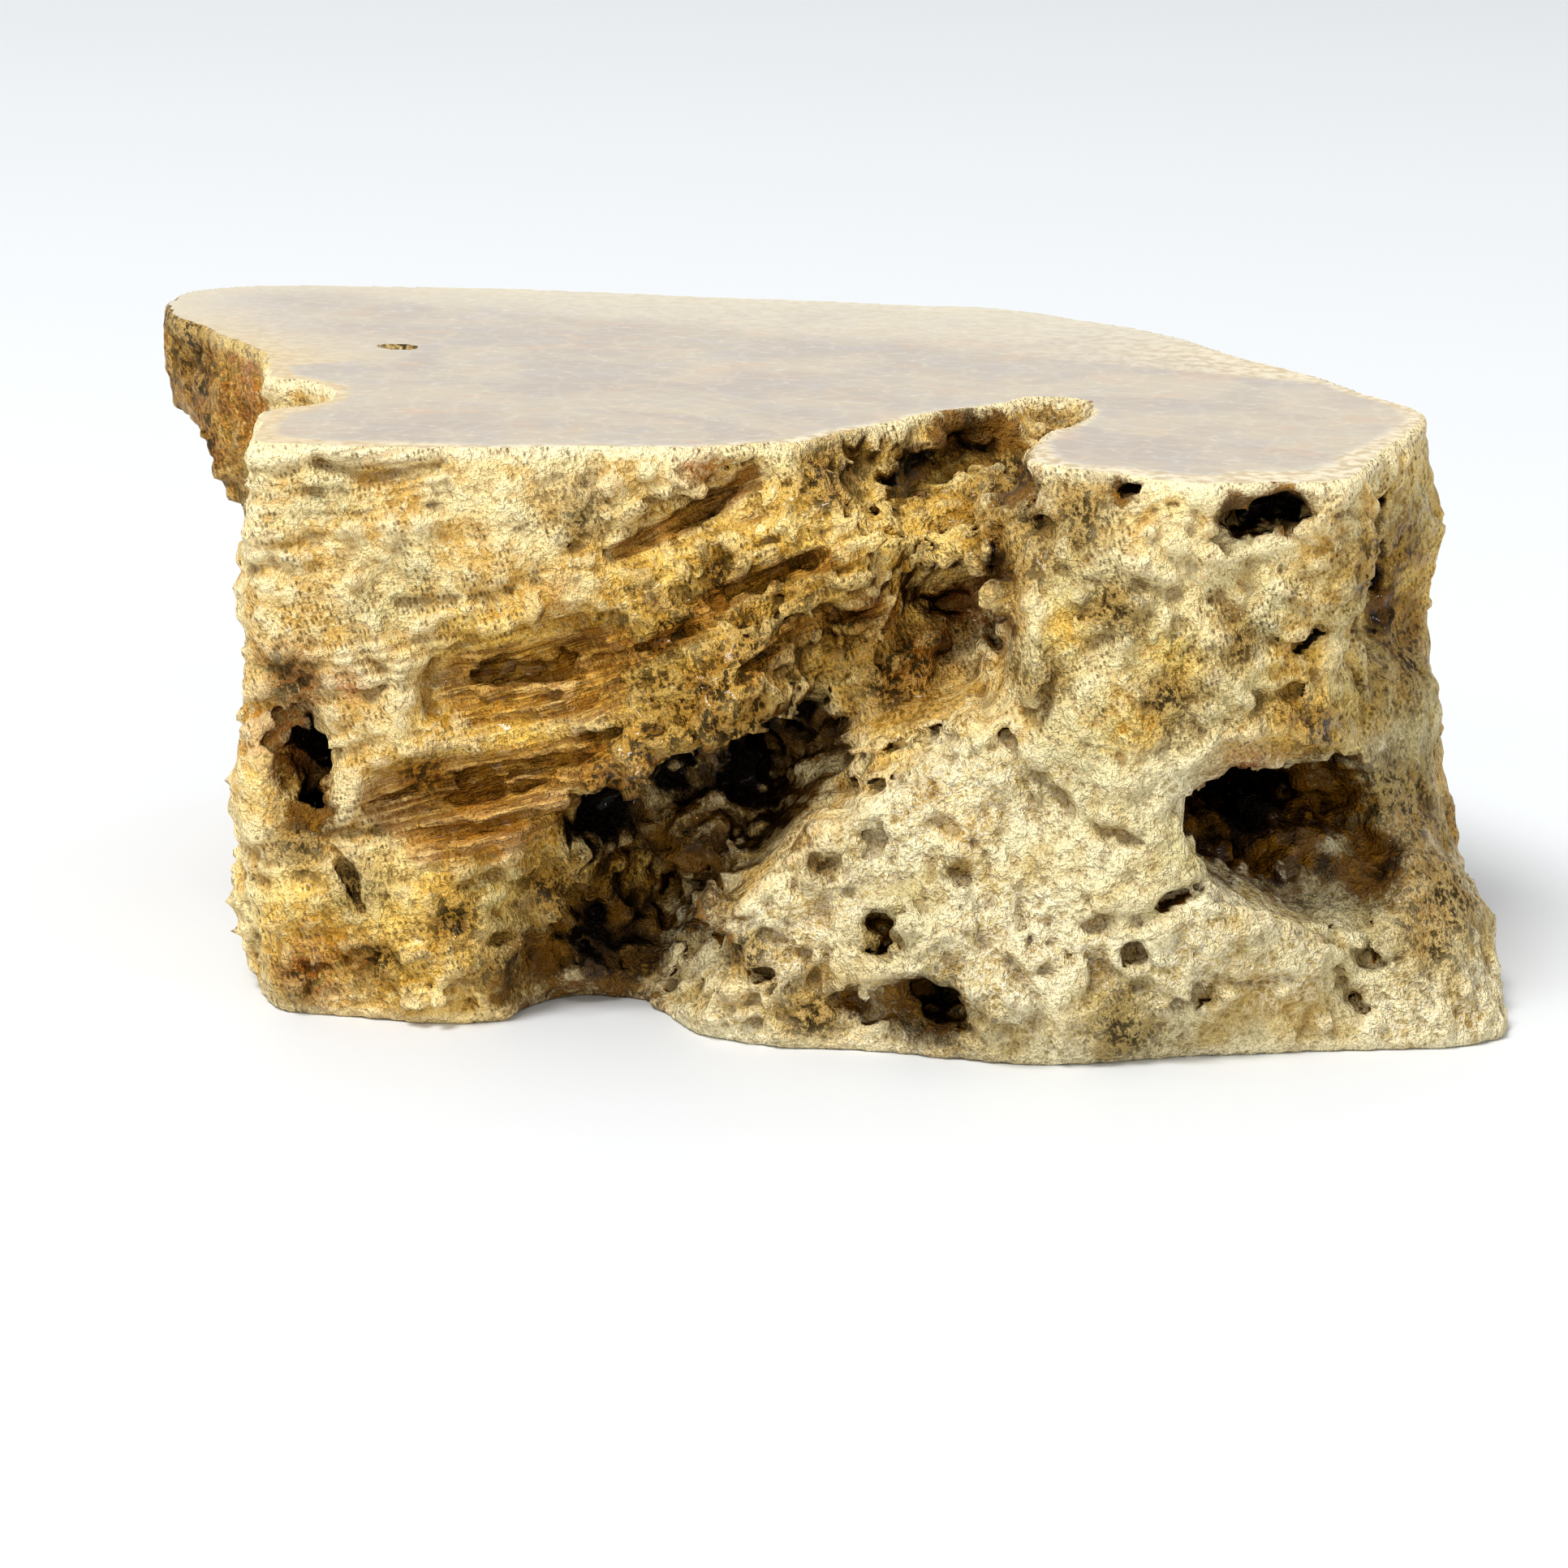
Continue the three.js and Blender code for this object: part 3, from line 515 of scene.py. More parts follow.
def knobs_of(x, y, z):
    """Rough broken stone: rounded knobs of three sizes with sharp creases between them."""
    broad = value_noise(x, y, z, 8.0, 21)
    middle = 0.45 - np.abs(value_noise(x, y, z, 4.2, 22))
    small = np.abs(value_noise(x, y, z, 2.4, 23)) - 0.25
    grit = np.abs(value_noise(x, y, z, 1.3, 24)) - 0.25
    return 0.6 * broad + 0.8 * middle + 1.3 * small + 1.3 * grit - 0.18


def glassy_of(x, y, z):
    """The botryoidal skin of the hollows: round wet lumps with sharp creases between them."""
    lumps = np.abs(value_noise(x, y, z, 4.4, 26)) - 0.25
    beads = np.abs(value_noise(x, y, z, 1.9, 27)) - 0.25
    return 1.4 * lumps + 1.0 * beads - 0.1


def worm_tracks_of(x, y, z):
    """Narrow winding channels, as on the apron."""
    track = np.abs(value_noise(x, y, z, 2.9, 31)) + 0.25 * np.abs(value_noise(x, y, z, 1.4, 32))
    return -0.4 * (1.0 - smooth_step(0.04, 0.3, track))


def apron_share(x, y, z):
    """Where the pale lower right of the front is."""
    crest = 28.0 - 0.9 * np.clip(14.0 - x, 0.0, None) - 0.12 * np.clip(x - 30.0, 0.0, None)
    lower = 1.0 - smooth_step(-2.0, 3.0, z - crest)
    return lower * smooth_step(-12.0, -7.0, x + 0.3 * z) * (1.0 - smooth_step(14.0, 26.0, y))


def near_path(path, x, z):
    """Distance in mm from points of the front to a path."""
    nearest = np.full(x.shape, 1e3, np.float32)
    for (ax, az), (bx, bz) in zip(path[:-1], path[1:]):
        dx, dz = bx - ax, bz - az
        share = np.clip(((x - ax) * dx + (z - az) * dz) / (dx * dx + dz * dz), 0.0, 1.0)
        nearest = np.minimum(nearest, np.hypot(x - ax - share * dx, z - az - share * dz))
    return nearest


def work_forms(stone):
    """Works the single forms of the front into the grid, from the broad ones to the small ones."""
    for path, width, out in FRONT_LINES:
        stone.press(path, width, out)
    for (x, z), half, turn in FRONT_PITS:
        at = (x, stone.face_at(x, z) + 0.3, z)
        stone.carve(at, half, blend=1.0, ragged=0.8, turn_y=math.radians(turn))
    for at, half, turn in POCKETS:
        ragged = min(1.0, 0.3 * half[2])
        stone.carve(at, half, blend=1.2, ragged=ragged, turn_y=math.radians(turn))
    for (x, z), across in CUPS:
        turns = np.radians(np.arange(0.0, 361.0, 24.0))
        ring = np.stack([x + across * np.cos(turns), z + 0.9 * across * np.sin(turns)], axis=1)
        stone.press(ring, 0.5 * across, 0.3 * across)
        cup = (0.74 * across, 0.34 * across, 0.66 * across)
        stone.carve((x, stone.face_at(x, z) + 0.2, z), cup, blend=0.8, ragged=0.35)
    for path, half_high, deep in FURROWS + CRACKS:
        stone.gouge(path, half_high, deep)
    for (x, z), half in FRONT_LUMPS:
        stone.heap((x, stone.face_at(x, z) + 0.2, z), half, blend=0.8)


def hollows_of(stone):
    """Gives a function that says how far points near the surface lie in a hollow, 0 to 1."""
    # the share of stone round a point: near one half on open faces, higher in the hollows
    solid = coarse((stone.field < 0.0).astype(np.float32))
    close, wide = blur(solid, 4.0), blur(solid, 8.0)

    def hollow_at(x, y, z):
        points = np.stack([x, y, z], axis=1)
        narrow = smooth_step(0.57, 0.72, sample(close, points, 2.0 * VOXEL))
        return np.maximum(narrow, smooth_step(0.6, 0.7, sample(wide, points, 2.0 * VOXEL)))

    return hollow_at


def breakage(x, y, z):
    """How strongly the broken knobs show, 1 as a rule."""
    front = 1.0 - smooth_step(8.0, 18.0, y)
    # calm on the shelly left, rough in the middle, calm on the sides and from the pillar on
    share = 1.0 - 0.42 * smooth_step(-14.0, -24.0, x) * front
    share += 0.35 * smooth_step(-22.0, -14.0, x) * smooth_step(22.0, 14.0, x) * front
    share *= 1.0 - 0.45 * smooth_step(10.0, 20.0, y)
    share *= 1.0 - 0.15 * smooth_step(20.0, 24.0, x)
    # rough low on the left, calm on the apron and its crest and in the furrows
    share += 0.3 * smooth_step(-22.0, -28.0, x) * smooth_step(15.0, 10.0, z) * front
    share *= (1.0 - 0.25 * apron_share(x, y, z)) * (1.0 - 0.7 * furrow_share(x, y, z))
    crest = 1.0 - smooth_step(1.0, 3.4, near_path(CREST, x, z))
    return share * (1.0 - 0.6 * crest * front)


def weather(stone):
    """Works every form of the rim into the grid."""
    stone.soften(FACE_SOFTENING)
    work_forms(stone)
    hollow_at = hollows_of(stone)
    places, (x, y, z) = stone.band(RELIEF_BAND)
    hollow = hollow_at(x, y, z)
    tracked = 0.15 + 0.85 * apron_share(x, y, z)
    relief = ledges_of(x, y, z) * (1.0 - hollow)
    relief += knobs_of(x, y, z) * 0.9 * (1.0 - hollow) * breakage(x, y, z)
    relief += glassy_of(x, y, z) * hollow
    relief += worm_tracks_of(x, y, z) * tracked * (1.0 - hollow)
    # nearly none at the two cut edges
    relief *= smooth_step(-0.3, 2.4, np.minimum(z, THICKNESS - z)) * 0.85 + 0.15
    stone.field[places] -= relief

    pit_surface(stone, hollow_at)
    stone.field = np.maximum(stone.field, stone.axes[2][None, None, :] - THICKNESS)
    stone.field = np.maximum(stone.field, -stone.axes[2][None, None, :])


def pit_surface(stone, hollow_at):
    """Scatters small pits over the open rim and glassy beads in the hollows."""
    random = np.random.default_rng(407)
    places, (x, y, z) = stone.band(0.35)
    inside = (z > 1.0) & (z < THICKNESS - 1.0)
    hollow = hollow_at(x, y, z)
    open_rim = np.nonzero(inside & (hollow < 0.2) & (apron_share(x, y, z) < 0.5))[0]
    deep = np.nonzero(inside & (hollow > 0.5))[0]
    for place in random.choice(open_rim, SMALL_PITS, replace=False):
        size = random.uniform(0.3, 0.5) * (1.0 + 0.9 * (random.random() < 0.05))
        half = (size * random.uniform(1.0, 2.4), size * 1.1, size * random.uniform(0.6, 1.0))
        turn = math.radians(random.uniform(5.0, 35.0))
        stone.carve((x[place], y[place], z[place]), half, blend=0.3, turn_y=turn)
    for place in random.choice(deep, GLASSY_BEADS, replace=False):
        size = random.uniform(0.4, 1.3)
        stone.heap((x[place], y[place], z[place]), (size, size, size * 0.9), blend=0.35)


# ---------------------------------------------------------------- from grid to mesh
def skin_of(stone):
    """The surface as points in mm and triangles, without loose crumbs."""
    grid = openvdb.FloatGrid(float(BAND_VOXELS * VOXEL))
    grid.copyFromArray(stone.field)
    points, triangles, quads = grid.convertToPolygons(isovalue=0.0, adaptivity=0.0)
    faces = np.concatenate([triangles, quads[:, [0, 1, 2]], quads[:, [0, 2, 3]]]).astype(np.int64)
    points = points * VOXEL + GRID_LOW
    a, b, c = (points[faces[:, i]] for i in range(3))
    if np.einsum("ij,ij->i", a, np.cross(b, c)).sum() < 0.0:
        faces = faces[:, ::-1]
    # each joined part takes its lowest label, and the largest part stays
    label = np.arange(len(points))
    while True:
        lowest = label[faces].min(axis=1)
        before = label.copy()
        for i in range(3):
            np.minimum.at(label, faces[:, i], lowest)
        label = label[label]
        if (label == before).all():
            break
    main = np.bincount(label).argmax()
    faces = faces[label[faces[:, 0]] == main]
    used, faces = np.unique(faces, return_inverse=True)
    return points[used], faces.reshape(-1, 3)


def mesh_from(name, points, faces):
    mesh = bpy.data.meshes.new(name)
    mesh.vertices.add(len(points))
    mesh.vertices.foreach_set("co", points.astype(np.float32).ravel())
    mesh.loops.add(len(faces) * 3)
    mesh.loops.foreach_set("vertex_index", faces.astype(np.int32).ravel())
    mesh.polygons.add(len(faces))
    mesh.polygons.foreach_set("loop_start", np.arange(0, len(faces) * 3, 3, dtype=np.int32))
    mesh.update(calc_edges=True)
    mesh.validate()
    return mesh


def thinned(mesh, keep, inside):
    """A copy of the mesh with fewer faces, taken mostly from the flats and the back."""
    # the share of faces to keep round each point: all on the top's border, few inside it
    points = coordinates(mesh)
    flat = (points[:, 2] < 0.3) | (points[:, 2] > THICKNESS - 0.3)
    dense = 0.92 - 0.45 * smooth_step(16.0, 32.0, points[:, 1])
    border = (points[:, 2] > THICKNESS - 0.3) & (inside < 0.97)
    kept = np.where(points[:, 1] < 40.0, 1.0, 0.8)
    dense = np.round(np.where(flat, np.where(border, kept, 0.2), dense), 2)
    work = bpy.data.objects.new("thinning", mesh)
    bpy.context.scene.collection.objects.link(work)
    group = work.vertex_groups.new(name="keep")
    for share in np.unique(dense):
        group.add(np.nonzero(dense == share)[0].tolist(), float(share), "REPLACE")
    thin = work.modifiers.new("thin", "DECIMATE")
    thin.ratio = keep
    thin.vertex_group = group.name
    thin.invert_vertex_group = True
    thin.vertex_group_factor = 0.04
    bpy.context.view_layer.update()
    result = bpy.data.meshes.new_from_object(
        work.evaluated_get(bpy.context.evaluated_depsgraph_get())
    )
    bpy.data.objects.remove(work)
    return result


def coordinates(mesh):
    points = np.empty(len(mesh.vertices) * 3, np.float32)
    mesh.vertices.foreach_get("co", points)
    return points.reshape(-1, 3)


# Stains of the front, and spots of painted shade: x, z and reach in mm.
STAINS_AND_SHADE = {
    # pitch: spots of painted shade, near black, in the cave, the vugs, the slot and deep pits
    "pitch": [
        (-16.0, 18.2, 3.0), (-11.0, 20.6, 2.6), (0.5, 26.5, 2.4), (-9.0, 23.0, 2.8),
        (-17.0, 4.0, 4.5), (-20.6, 2.6, 2.6), (41.0, 20.0, 3.4), (-41.8, 24.6, 2.0),
        (-4.5, 20.6, 2.8), (41.6, 50.2, 2.2), (11.4, 47.6, 1.7), (13.4, 5.4, 2.8),
    ],
    # umber: dark wet brown, partly the stone's own and partly painted shade, as along the pillar's
    # left edge and round the cave
    "umber_and_shade": [
        (-20.5, 3.6, 6.0), (-15.0, 6.0, 6.5), (-9.0, 12.0, 6.5), (-14.0, 3.4, 5.0),
        (2.4, 24.6, 4.0), (-14.0, 18.5, 5.5), (-3.0, 22.5, 6.5), (11.0, 47.2, 3.2),
        (15.0, 49.6, 3.2), (19.0, 49.6, 3.0), (18.2, 42.6, 1.8), (18.6, 38.0, 1.8),
        (14.0, 36.8, 2.8), (42.0, 50.0, 3.0), (38.0, 49.6, 2.4), (28.2, 50.6, 1.6),
        (40.0, 21.5, 6.0), (47.0, 17.5, 6.0), (52.5, 15.0, 3.5), (-41.6, 19.0, 2.6),
        (-42.6, 22.4, 2.8), (54.5, 36.0, 2.6), (12.6, 4.8, 4.2), (6.4, 4.0, 1.8),
    ],
    "soot": [
        (-43.6, 31.0, 3.0), (-17.0, 10.0, 5.0), (-10.0, 15.5, 4.0), (-36.0, 6.0, 3.0),
        (-29.0, 10.0, 3.5), (-42.0, 17.0, 3.0), (-37.0, 13.0, 3.0), (-22.0, 6.0, 4.5),
        (28.0, 41.0, 3.0), (38.0, 38.0, 2.6), (10.0, 32.0, 4.5), (14.5, 34.0, 3.0),
        (21.0, 46.6, 2.2), (55.0, 41.0, 4.0), (56.0, 31.0, 5.0), (-8.5, 33.0, 7.5),
        (-3.0, 29.0, 5.0), (-25.0, 6.0, 3.4), (-20.0, 12.5, 4.0), (-14.0, 23.0, 5.5),
        (-6.5, 41.0, 3.0), (4.5, 35.0, 4.5), (1.5, 40.5, 3.5), (3.0, 49.0, 4.0), (-3.0, 9.0, 2.6),
        (19.5, 44.5, 4.0), (33.0, 32.5, 3.4), (43.0, 32.0, 3.0), (22.0, 34.5, 2.4),
        (46.0, 29.5, 3.6), (55.0, 18.0, 6.0), (3.0, 4.0, 3.0), (15.0, 4.0, 4.6),
        (-19.0, 46.5, 3.0), (-31.5, 22.5, 2.8), (25.0, 48.5, 3.0), (50.0, 44.0, 3.6),
        (30.0, 4.0, 4.0), (59.0, 12.0, 6.0), (52.0, 21.0, 5.0), (-43.0, 3.0, 3.0),
        (-3.0, 36.0, 4.0), (-12.0, 28.5, 4.0),
    ],
    "rust": [
        (-38.0, 31.1, 1.6), (-8.3, 50.0, 2.0), (-44.3, 25.5, 3.4), (-24.0, 17.6, 2.5),
        (-12.1, 23.8, 2.0), (7.5, 36.5, 2.5), (16.5, 36.5, 2.5), (-41.0, 5.0, 3.4),
        (-27.0, 20.0, 3.0), (12.0, 33.0, 2.5), (-20.0, 39.0, 2.0), (40.0, 26.0, 3.0),
        (-43.6, 31.0, 3.2),
    ],
    "gold": [
        (-16.0, 11.0, 6.0), (-26.0, 33.0, 5.0), (-19.0, 34.5, 7.0), (-12.0, 38.5, 6.0),
        (-24.0, 27.5, 6.0), (-27.0, 19.5, 6.0), (-22.0, 16.0, 6.0), (-31.0, 9.0, 8.0),
        (-42.0, 8.0, 6.0), (-2.0, 42.5, 9.0), (-9.0, 31.0, 8.0), (-16.0, 26.5, 7.0),
        (7.0, 36.0, 9.0), (12.0, 44.0, 7.0), (24.0, 39.0, 2.4), (33.0, 36.5, 2.4),
        (44.0, 36.0, 2.6), (30.0, 30.5, 2.4), (-44.0, 23.0, 4.0), (5.0, 5.0, 6.0),
        (48.0, 29.0, 6.0), (56.0, 40.0, 8.0), (57.0, 14.0, 6.0), (-2.0, 6.0, 5.0),
        (2.0, 13.0, 2.6), (14.0, 22.5, 3.0), (26.0, 5.0, 3.4), (44.0, 5.0, 4.0),
    ],
    "ash": [
        (24.0, 44.0, 4.5), (31.0, 38.5, 5.5), (41.0, 41.5, 5.0), (36.0, 31.5, 4.5),
        (22.0, 35.5, 3.5), (27.0, 31.5, 4.0), (50.0, 40.0, 4.5), (50.5, 30.0, 4.5),
        (-35.4, 37.5, 3.0), (-32.2, 41.2, 2.0), (-25.0, 12.0, 4.0), (-37.0, 12.0, 3.0),
        (-11.2, 33.0, 4.0), (10.0, 14.0, 4.0), (24.0, 28.0, 5.0), (35.0, 20.0, 4.0),
        (30.0, 6.0, 4.0), (50.0, 12.0, 5.0), (38.0, 34.0, 4.0), (-40.0, 47.5, 2.5),
        (57.0, 44.0, 4.5), (58.0, 25.0, 5.0),
    ],
}

# Where at random behind the front a stain sets in and is full, if not from 0.1 to 0.75.
WILD_REACH = {"gold": (-0.5, 0.3), "soot": (-0.3, 0.5), "rust": (0.0, 0.7)}
# How strongly at least the lobe at the back left is stained.
LOBE_STAINS = {"soot": 0.6, "rust": 0.45}


def stain_and_shade(name, x, y, z):
    """How strongly a stain shows, for pitch and part of umber the painted shade, from its places on
    the front and at random behind.
    """
    seed = 50 + list(STAINS_AND_SHADE).index(name)
    share = np.zeros_like(x)
    places = STAINS_AND_SHADE[name] + [(*at, 0.6 * across) for at, across in CUPS if name == "soot"]
    for at_x, at_z, reach in places:
        share = np.maximum(share, np.exp(-((x - at_x) ** 2 + (z - at_z) ** 2) / reach**2))
    front = 1.0 - smooth_step(30.0, 40.0, y)
    wild = smooth_step(*WILD_REACH.get(name, (0.1, 0.75)), value_noise(x, y, z, 11.0, seed))
    if name in LOBE_STAINS:
        wild = np.maximum(wild, LOBE_STAINS[name] * smooth_step(-48.0, -54.0, x))
    ragged = 1.0 + 0.55 * value_noise(x, y, z, 2.6, seed + 10)
    return np.clip((front * share + (1.0 - front) * wild) * ragged, 0.0, 1.0)


def cloud_of(x, y, z, size, seed):
    """Three sizes of noise together, about 0 to 1."""
    cloud = value_noise(x, y, z, size, seed) + 0.5 * value_noise(x, y, z, size * 0.5, seed + 1)
    return 0.5 + 0.4 * (cloud + 0.25 * value_noise(x, y, z, size * 0.27, seed + 2))


def growth_of(x, y, z):
    """Coordinates that follow the coral's growth layers, a little unevenly."""
    sway = 0.9 * value_noise(x, y, z, 9.0, 71) + 0.25 * value_noise(x, y, z, 3.0, 72)
    height = bedding_height(x, y, z) + sway
    return np.stack([x + 0.35 * z + 0.6 * value_noise(x, y, z, 7.0, 73), y, height], axis=1)


def furrow_share(x, y, z):
    """1 in the striped furrows of the front, 0 away from them."""
    share = np.zeros_like(x)
    for (path, half_high, deep), reach in zip(FURROWS, STRIPED_REACH):
        share = np.maximum(share, 1.0 - smooth_step(0.35 * reach, reach, near_path(path, x, z)))
    return share * (1.0 - smooth_step(8.0, 14.0, y))


def laminar_share(x, y, z):
    """Where thin parallel lamellae show: in patches, mostly on the left of the front."""
    patches = smooth_step(-0.1, 0.5, value_noise(x * 0.6, y, z, 8.0, 98))
    left = smooth_step(0.0, -12.0, x) * smooth_step(12.0, 22.0, z)
    patches *= smooth_step(-44.0, -38.0, x)
    return np.maximum(patches * (0.15 + 0.85 * left), furrow_share(x, y, z))


def rind_share(x, y, inside):
    """The weathered border of the cut faces: inside is one half on their edge and 1 far in."""
    wide = 0.5 * smooth_step(-16.0, -34.0, x)
    wide = np.maximum(wide, smooth_step(20.0, 30.0, x) * (1.0 - smooth_step(6.0, 22.0, y)))
    ragged = value_noise(x, y, 0.0 * x, 6.0, 95) + 0.5 * value_noise(x, y, 0.0 * x, 2.5, 96)
    return 1.0 - smooth_step(0.66, 0.78, inside - 0.14 * wide + 0.06 * ragged)


# Cloudy shares that the finishes read: size and seed.
CLOUDS = {"broad": (7.0, 81), "patch": (3.0, 84), "porous": (3.4, 87), "damp": (3.0, 90)}


def mark_stone(mesh, stone, solid, slab, points, normals):
    """Keeps on each point what the finishes read: how sheltered, stained and porous it is, and
    where shade is painted.
    """
    x, y, z = points.T
    marks = {
        "hollow": shelter_of(stone.field, points, normals),
        "furrow": furrow_share(x, y, z),
        "crevice": sample(blur(solid, 0.9 / VOXEL), points),
        "rind": rind_share(x, y, plan_sample(slab, points)),
        "laminar": laminar_share(x, y, z),
        "apron": apron_share(x, y, z),
    }
    for name in STAINS_AND_SHADE:
        marks[name] = stain_and_shade(name, x, y, z)
    layers = growth_of(x, y, z)
    for name, (size, seed) in CLOUDS.items():
        marks[name] = cloud_of(*layers.T, size, seed)
    for name, values in marks.items():
        attribute = mesh.attributes.new(name, "FLOAT", "POINT")
        attribute.data.foreach_set("value", values.astype(np.float32))
    growth = mesh.attributes.new("growth", "FLOAT_VECTOR", "POINT")
    growth.data.foreach_set("vector", layers.astype(np.float32).ravel())


def coral_block(stone):
    """The finished block: one mesh with a rough rim and two cut faces."""
    points, faces = skin_of(stone)
    solid = (stone.field < 0.0).astype(np.float32)
    # the outline just under the top, rounded, so that a border can be told from the middle
    level = int(round((THICKNESS - 1.5 - GRID_LOW[2]) / VOXEL))
    slab = blur(np.repeat(solid[:, :, level : level + 1], 8, axis=2), 3.0 / VOXEL)
    raw = mesh_from("raw_skin", points, faces)
    mesh = thinned(raw, MOST_FACES / len(faces), plan_sample(slab, points))

    points = coordinates(mesh)
    normals = np.empty(len(mesh.vertices) * 3, np.float32)
    mesh.vertices.foreach_get("normal", normals)
    points[points[:, 2] > THICKNESS - FLAT_SNAP, 2] = THICKNESS
    points[points[:, 2] < FLAT_SNAP, 2] = 0.0
    mark_stone(mesh, stone, solid, slab, points, normals.reshape(-1, 3))

    corners = np.empty(len(mesh.loops), np.int32)
    mesh.loops.foreach_get("vertex_index", corners)
    heights = points[corners, 2].reshape(-1, 3)
    top = (heights == THICKNESS).all(axis=1)
    foot = (heights == 0.0).all(axis=1)
    for make in (weathered_coral, polished_top, sawn_foot):
        mesh.materials.append(make())
    mesh.polygons.foreach_set("material_index", (top * 1 + foot * 2).astype(np.int32))
    mesh.polygons.foreach_set("use_smooth", ~(top | foot))

    mesh.vertices.foreach_set("co", ((points - BLOCK_TO_FRAME) * MM).astype(np.float32).ravel())
    mesh.update()
    piece = bpy.data.objects.new("coral_block", mesh)
    bpy.context.scene.collection.objects.link(piece)
    return piece


# ---------------------------------------------------------------- finishes
def colour(code):
    """Linear colour of an #rrggbb code."""
    parts = [int(code[i : i + 2], 16) / 255.0 for i in (1, 3, 5)]
    linear = [p / 12.92 if p <= 0.04045 else ((p + 0.055) / 1.055) ** 2.4 for p in parts]
    return (*linear, 1.0)


class Share:
    """A node's output that sums and products can be written with; a | b is the larger."""

    def __init__(self, finish, socket):
        self.finish = finish
        self.socket = socket

    def __add__(self, other):
        return self.finish.math("ADD", self, other)

    def __sub__(self, other):
        return self.finish.math("SUBTRACT", self, other)

    def __rsub__(self, other):
        return self.finish.math("SUBTRACT", other, self)

    def __mul__(self, other):
        return self.finish.math("MULTIPLY", self, other)

    def __or__(self, other):
        return self.finish.math("MAXIMUM", self, other)


class Finish:
    """A node-built material. Its steps take numbers, colour codes or shares and give a share."""

    def __init__(self, name):
        self.material = bpy.data.materials.new(name)
        self.material.use_nodes = True
        self.tree = self.material.node_tree
        self.shader = self.tree.nodes["Principled BSDF"]
        place = self.step("TexCoord", {}, output="Object")
        scaled = self.step("VectorMath", {0: place, "Scale": 1000.0}, operation="SCALE")
        # millimetres in the block's own frame
        self.place = self.step(
            "VectorMath", {0: scaled, 1: tuple(BLOCK_TO_FRAME)}, operation="ADD"
        )

    def put(self, socket, value):
        if isinstance(value, Share):
            self.tree.links.new(value.socket, socket)
        elif isinstance(value, str):
            socket.default_value = colour(value)
        else:
            socket.default_value = value

    def step(self, kind, inputs, output=0, **settings):
        node = self.tree.nodes.new("ShaderNode" + kind)
        for key, value in settings.items():
            setattr(node, key, value)
        for key, value in inputs.items():
            self.put(node.inputs[key], value)
        return Share(self, node.outputs[output])

    def math(self, operation, a, b):
        return self.step("Math", {0: a, 1: b}, operation=operation)

    def marks(self, *names):
        return [self.step("Attribute", {}, output="Fac", attribute_name=n) for n in names]

    def part(self, vector, axis):
        return self.step("SeparateXYZ", {"Vector": vector}, output=axis)

    def rise(self, value, low, high, top=1.0):
        """0 below low, top above high (or the other way round when low is the larger)."""
        numbers = {"Value": value, "From Min": low, "From Max": high, "To Max": top}
        return self.step("MapRange", numbers, interpolation_type="SMOOTHSTEP")

    def blend(self, share, a, b, how="MIX"):
        inputs = {0: share, 6: a, 7: b}
        return self.step("Mix", inputs, output=2, data_type="RGBA", blend_type=how)

    def lay(self, base, *coats):
        """Lays coats of (share, colour) over base, one after another."""
        for share, tone in coats:
            base = self.blend(share, base, tone)
        return base

    def squeeze(self, at, by):
        return self.step("VectorMath", {0: at, 1: by}, operation="MULTIPLY")

    def noise(self, at, size, detail=3.0, roughness=0.55, twist=0.0):
        numbers = {
            "Vector": at,
            "Scale": 1.0 / size,
            "Detail": detail,
            "Roughness": roughness,
            "Distortion": twist,
        }
        return self.step("TexNoise", numbers)

    def cells(self, at, size, jitter, feature="F1"):
        numbers = {"Vector": at, "Scale": 1.0 / size, "Randomness": jitter}
        return self.step("TexVoronoi", numbers, output="Distance", feature=feature)

    def finish(self, base, roughness, height, **fixed):
        """Sets the shader: height is in millimetres, fixed are plain values by socket name."""
        numbers = {"Height": height * MM, "Distance": 1.0, "Strength": 1.0}
        self.put(self.shader.inputs["Base Color"], base)
        self.put(self.shader.inputs["Roughness"], roughness)
        self.put(self.shader.inputs["Normal"], self.step("Bump", numbers, "Normal"))
        for name, value in fixed.items():
            self.put(self.shader.inputs[name.replace("_", " ")], value)
        return self.material


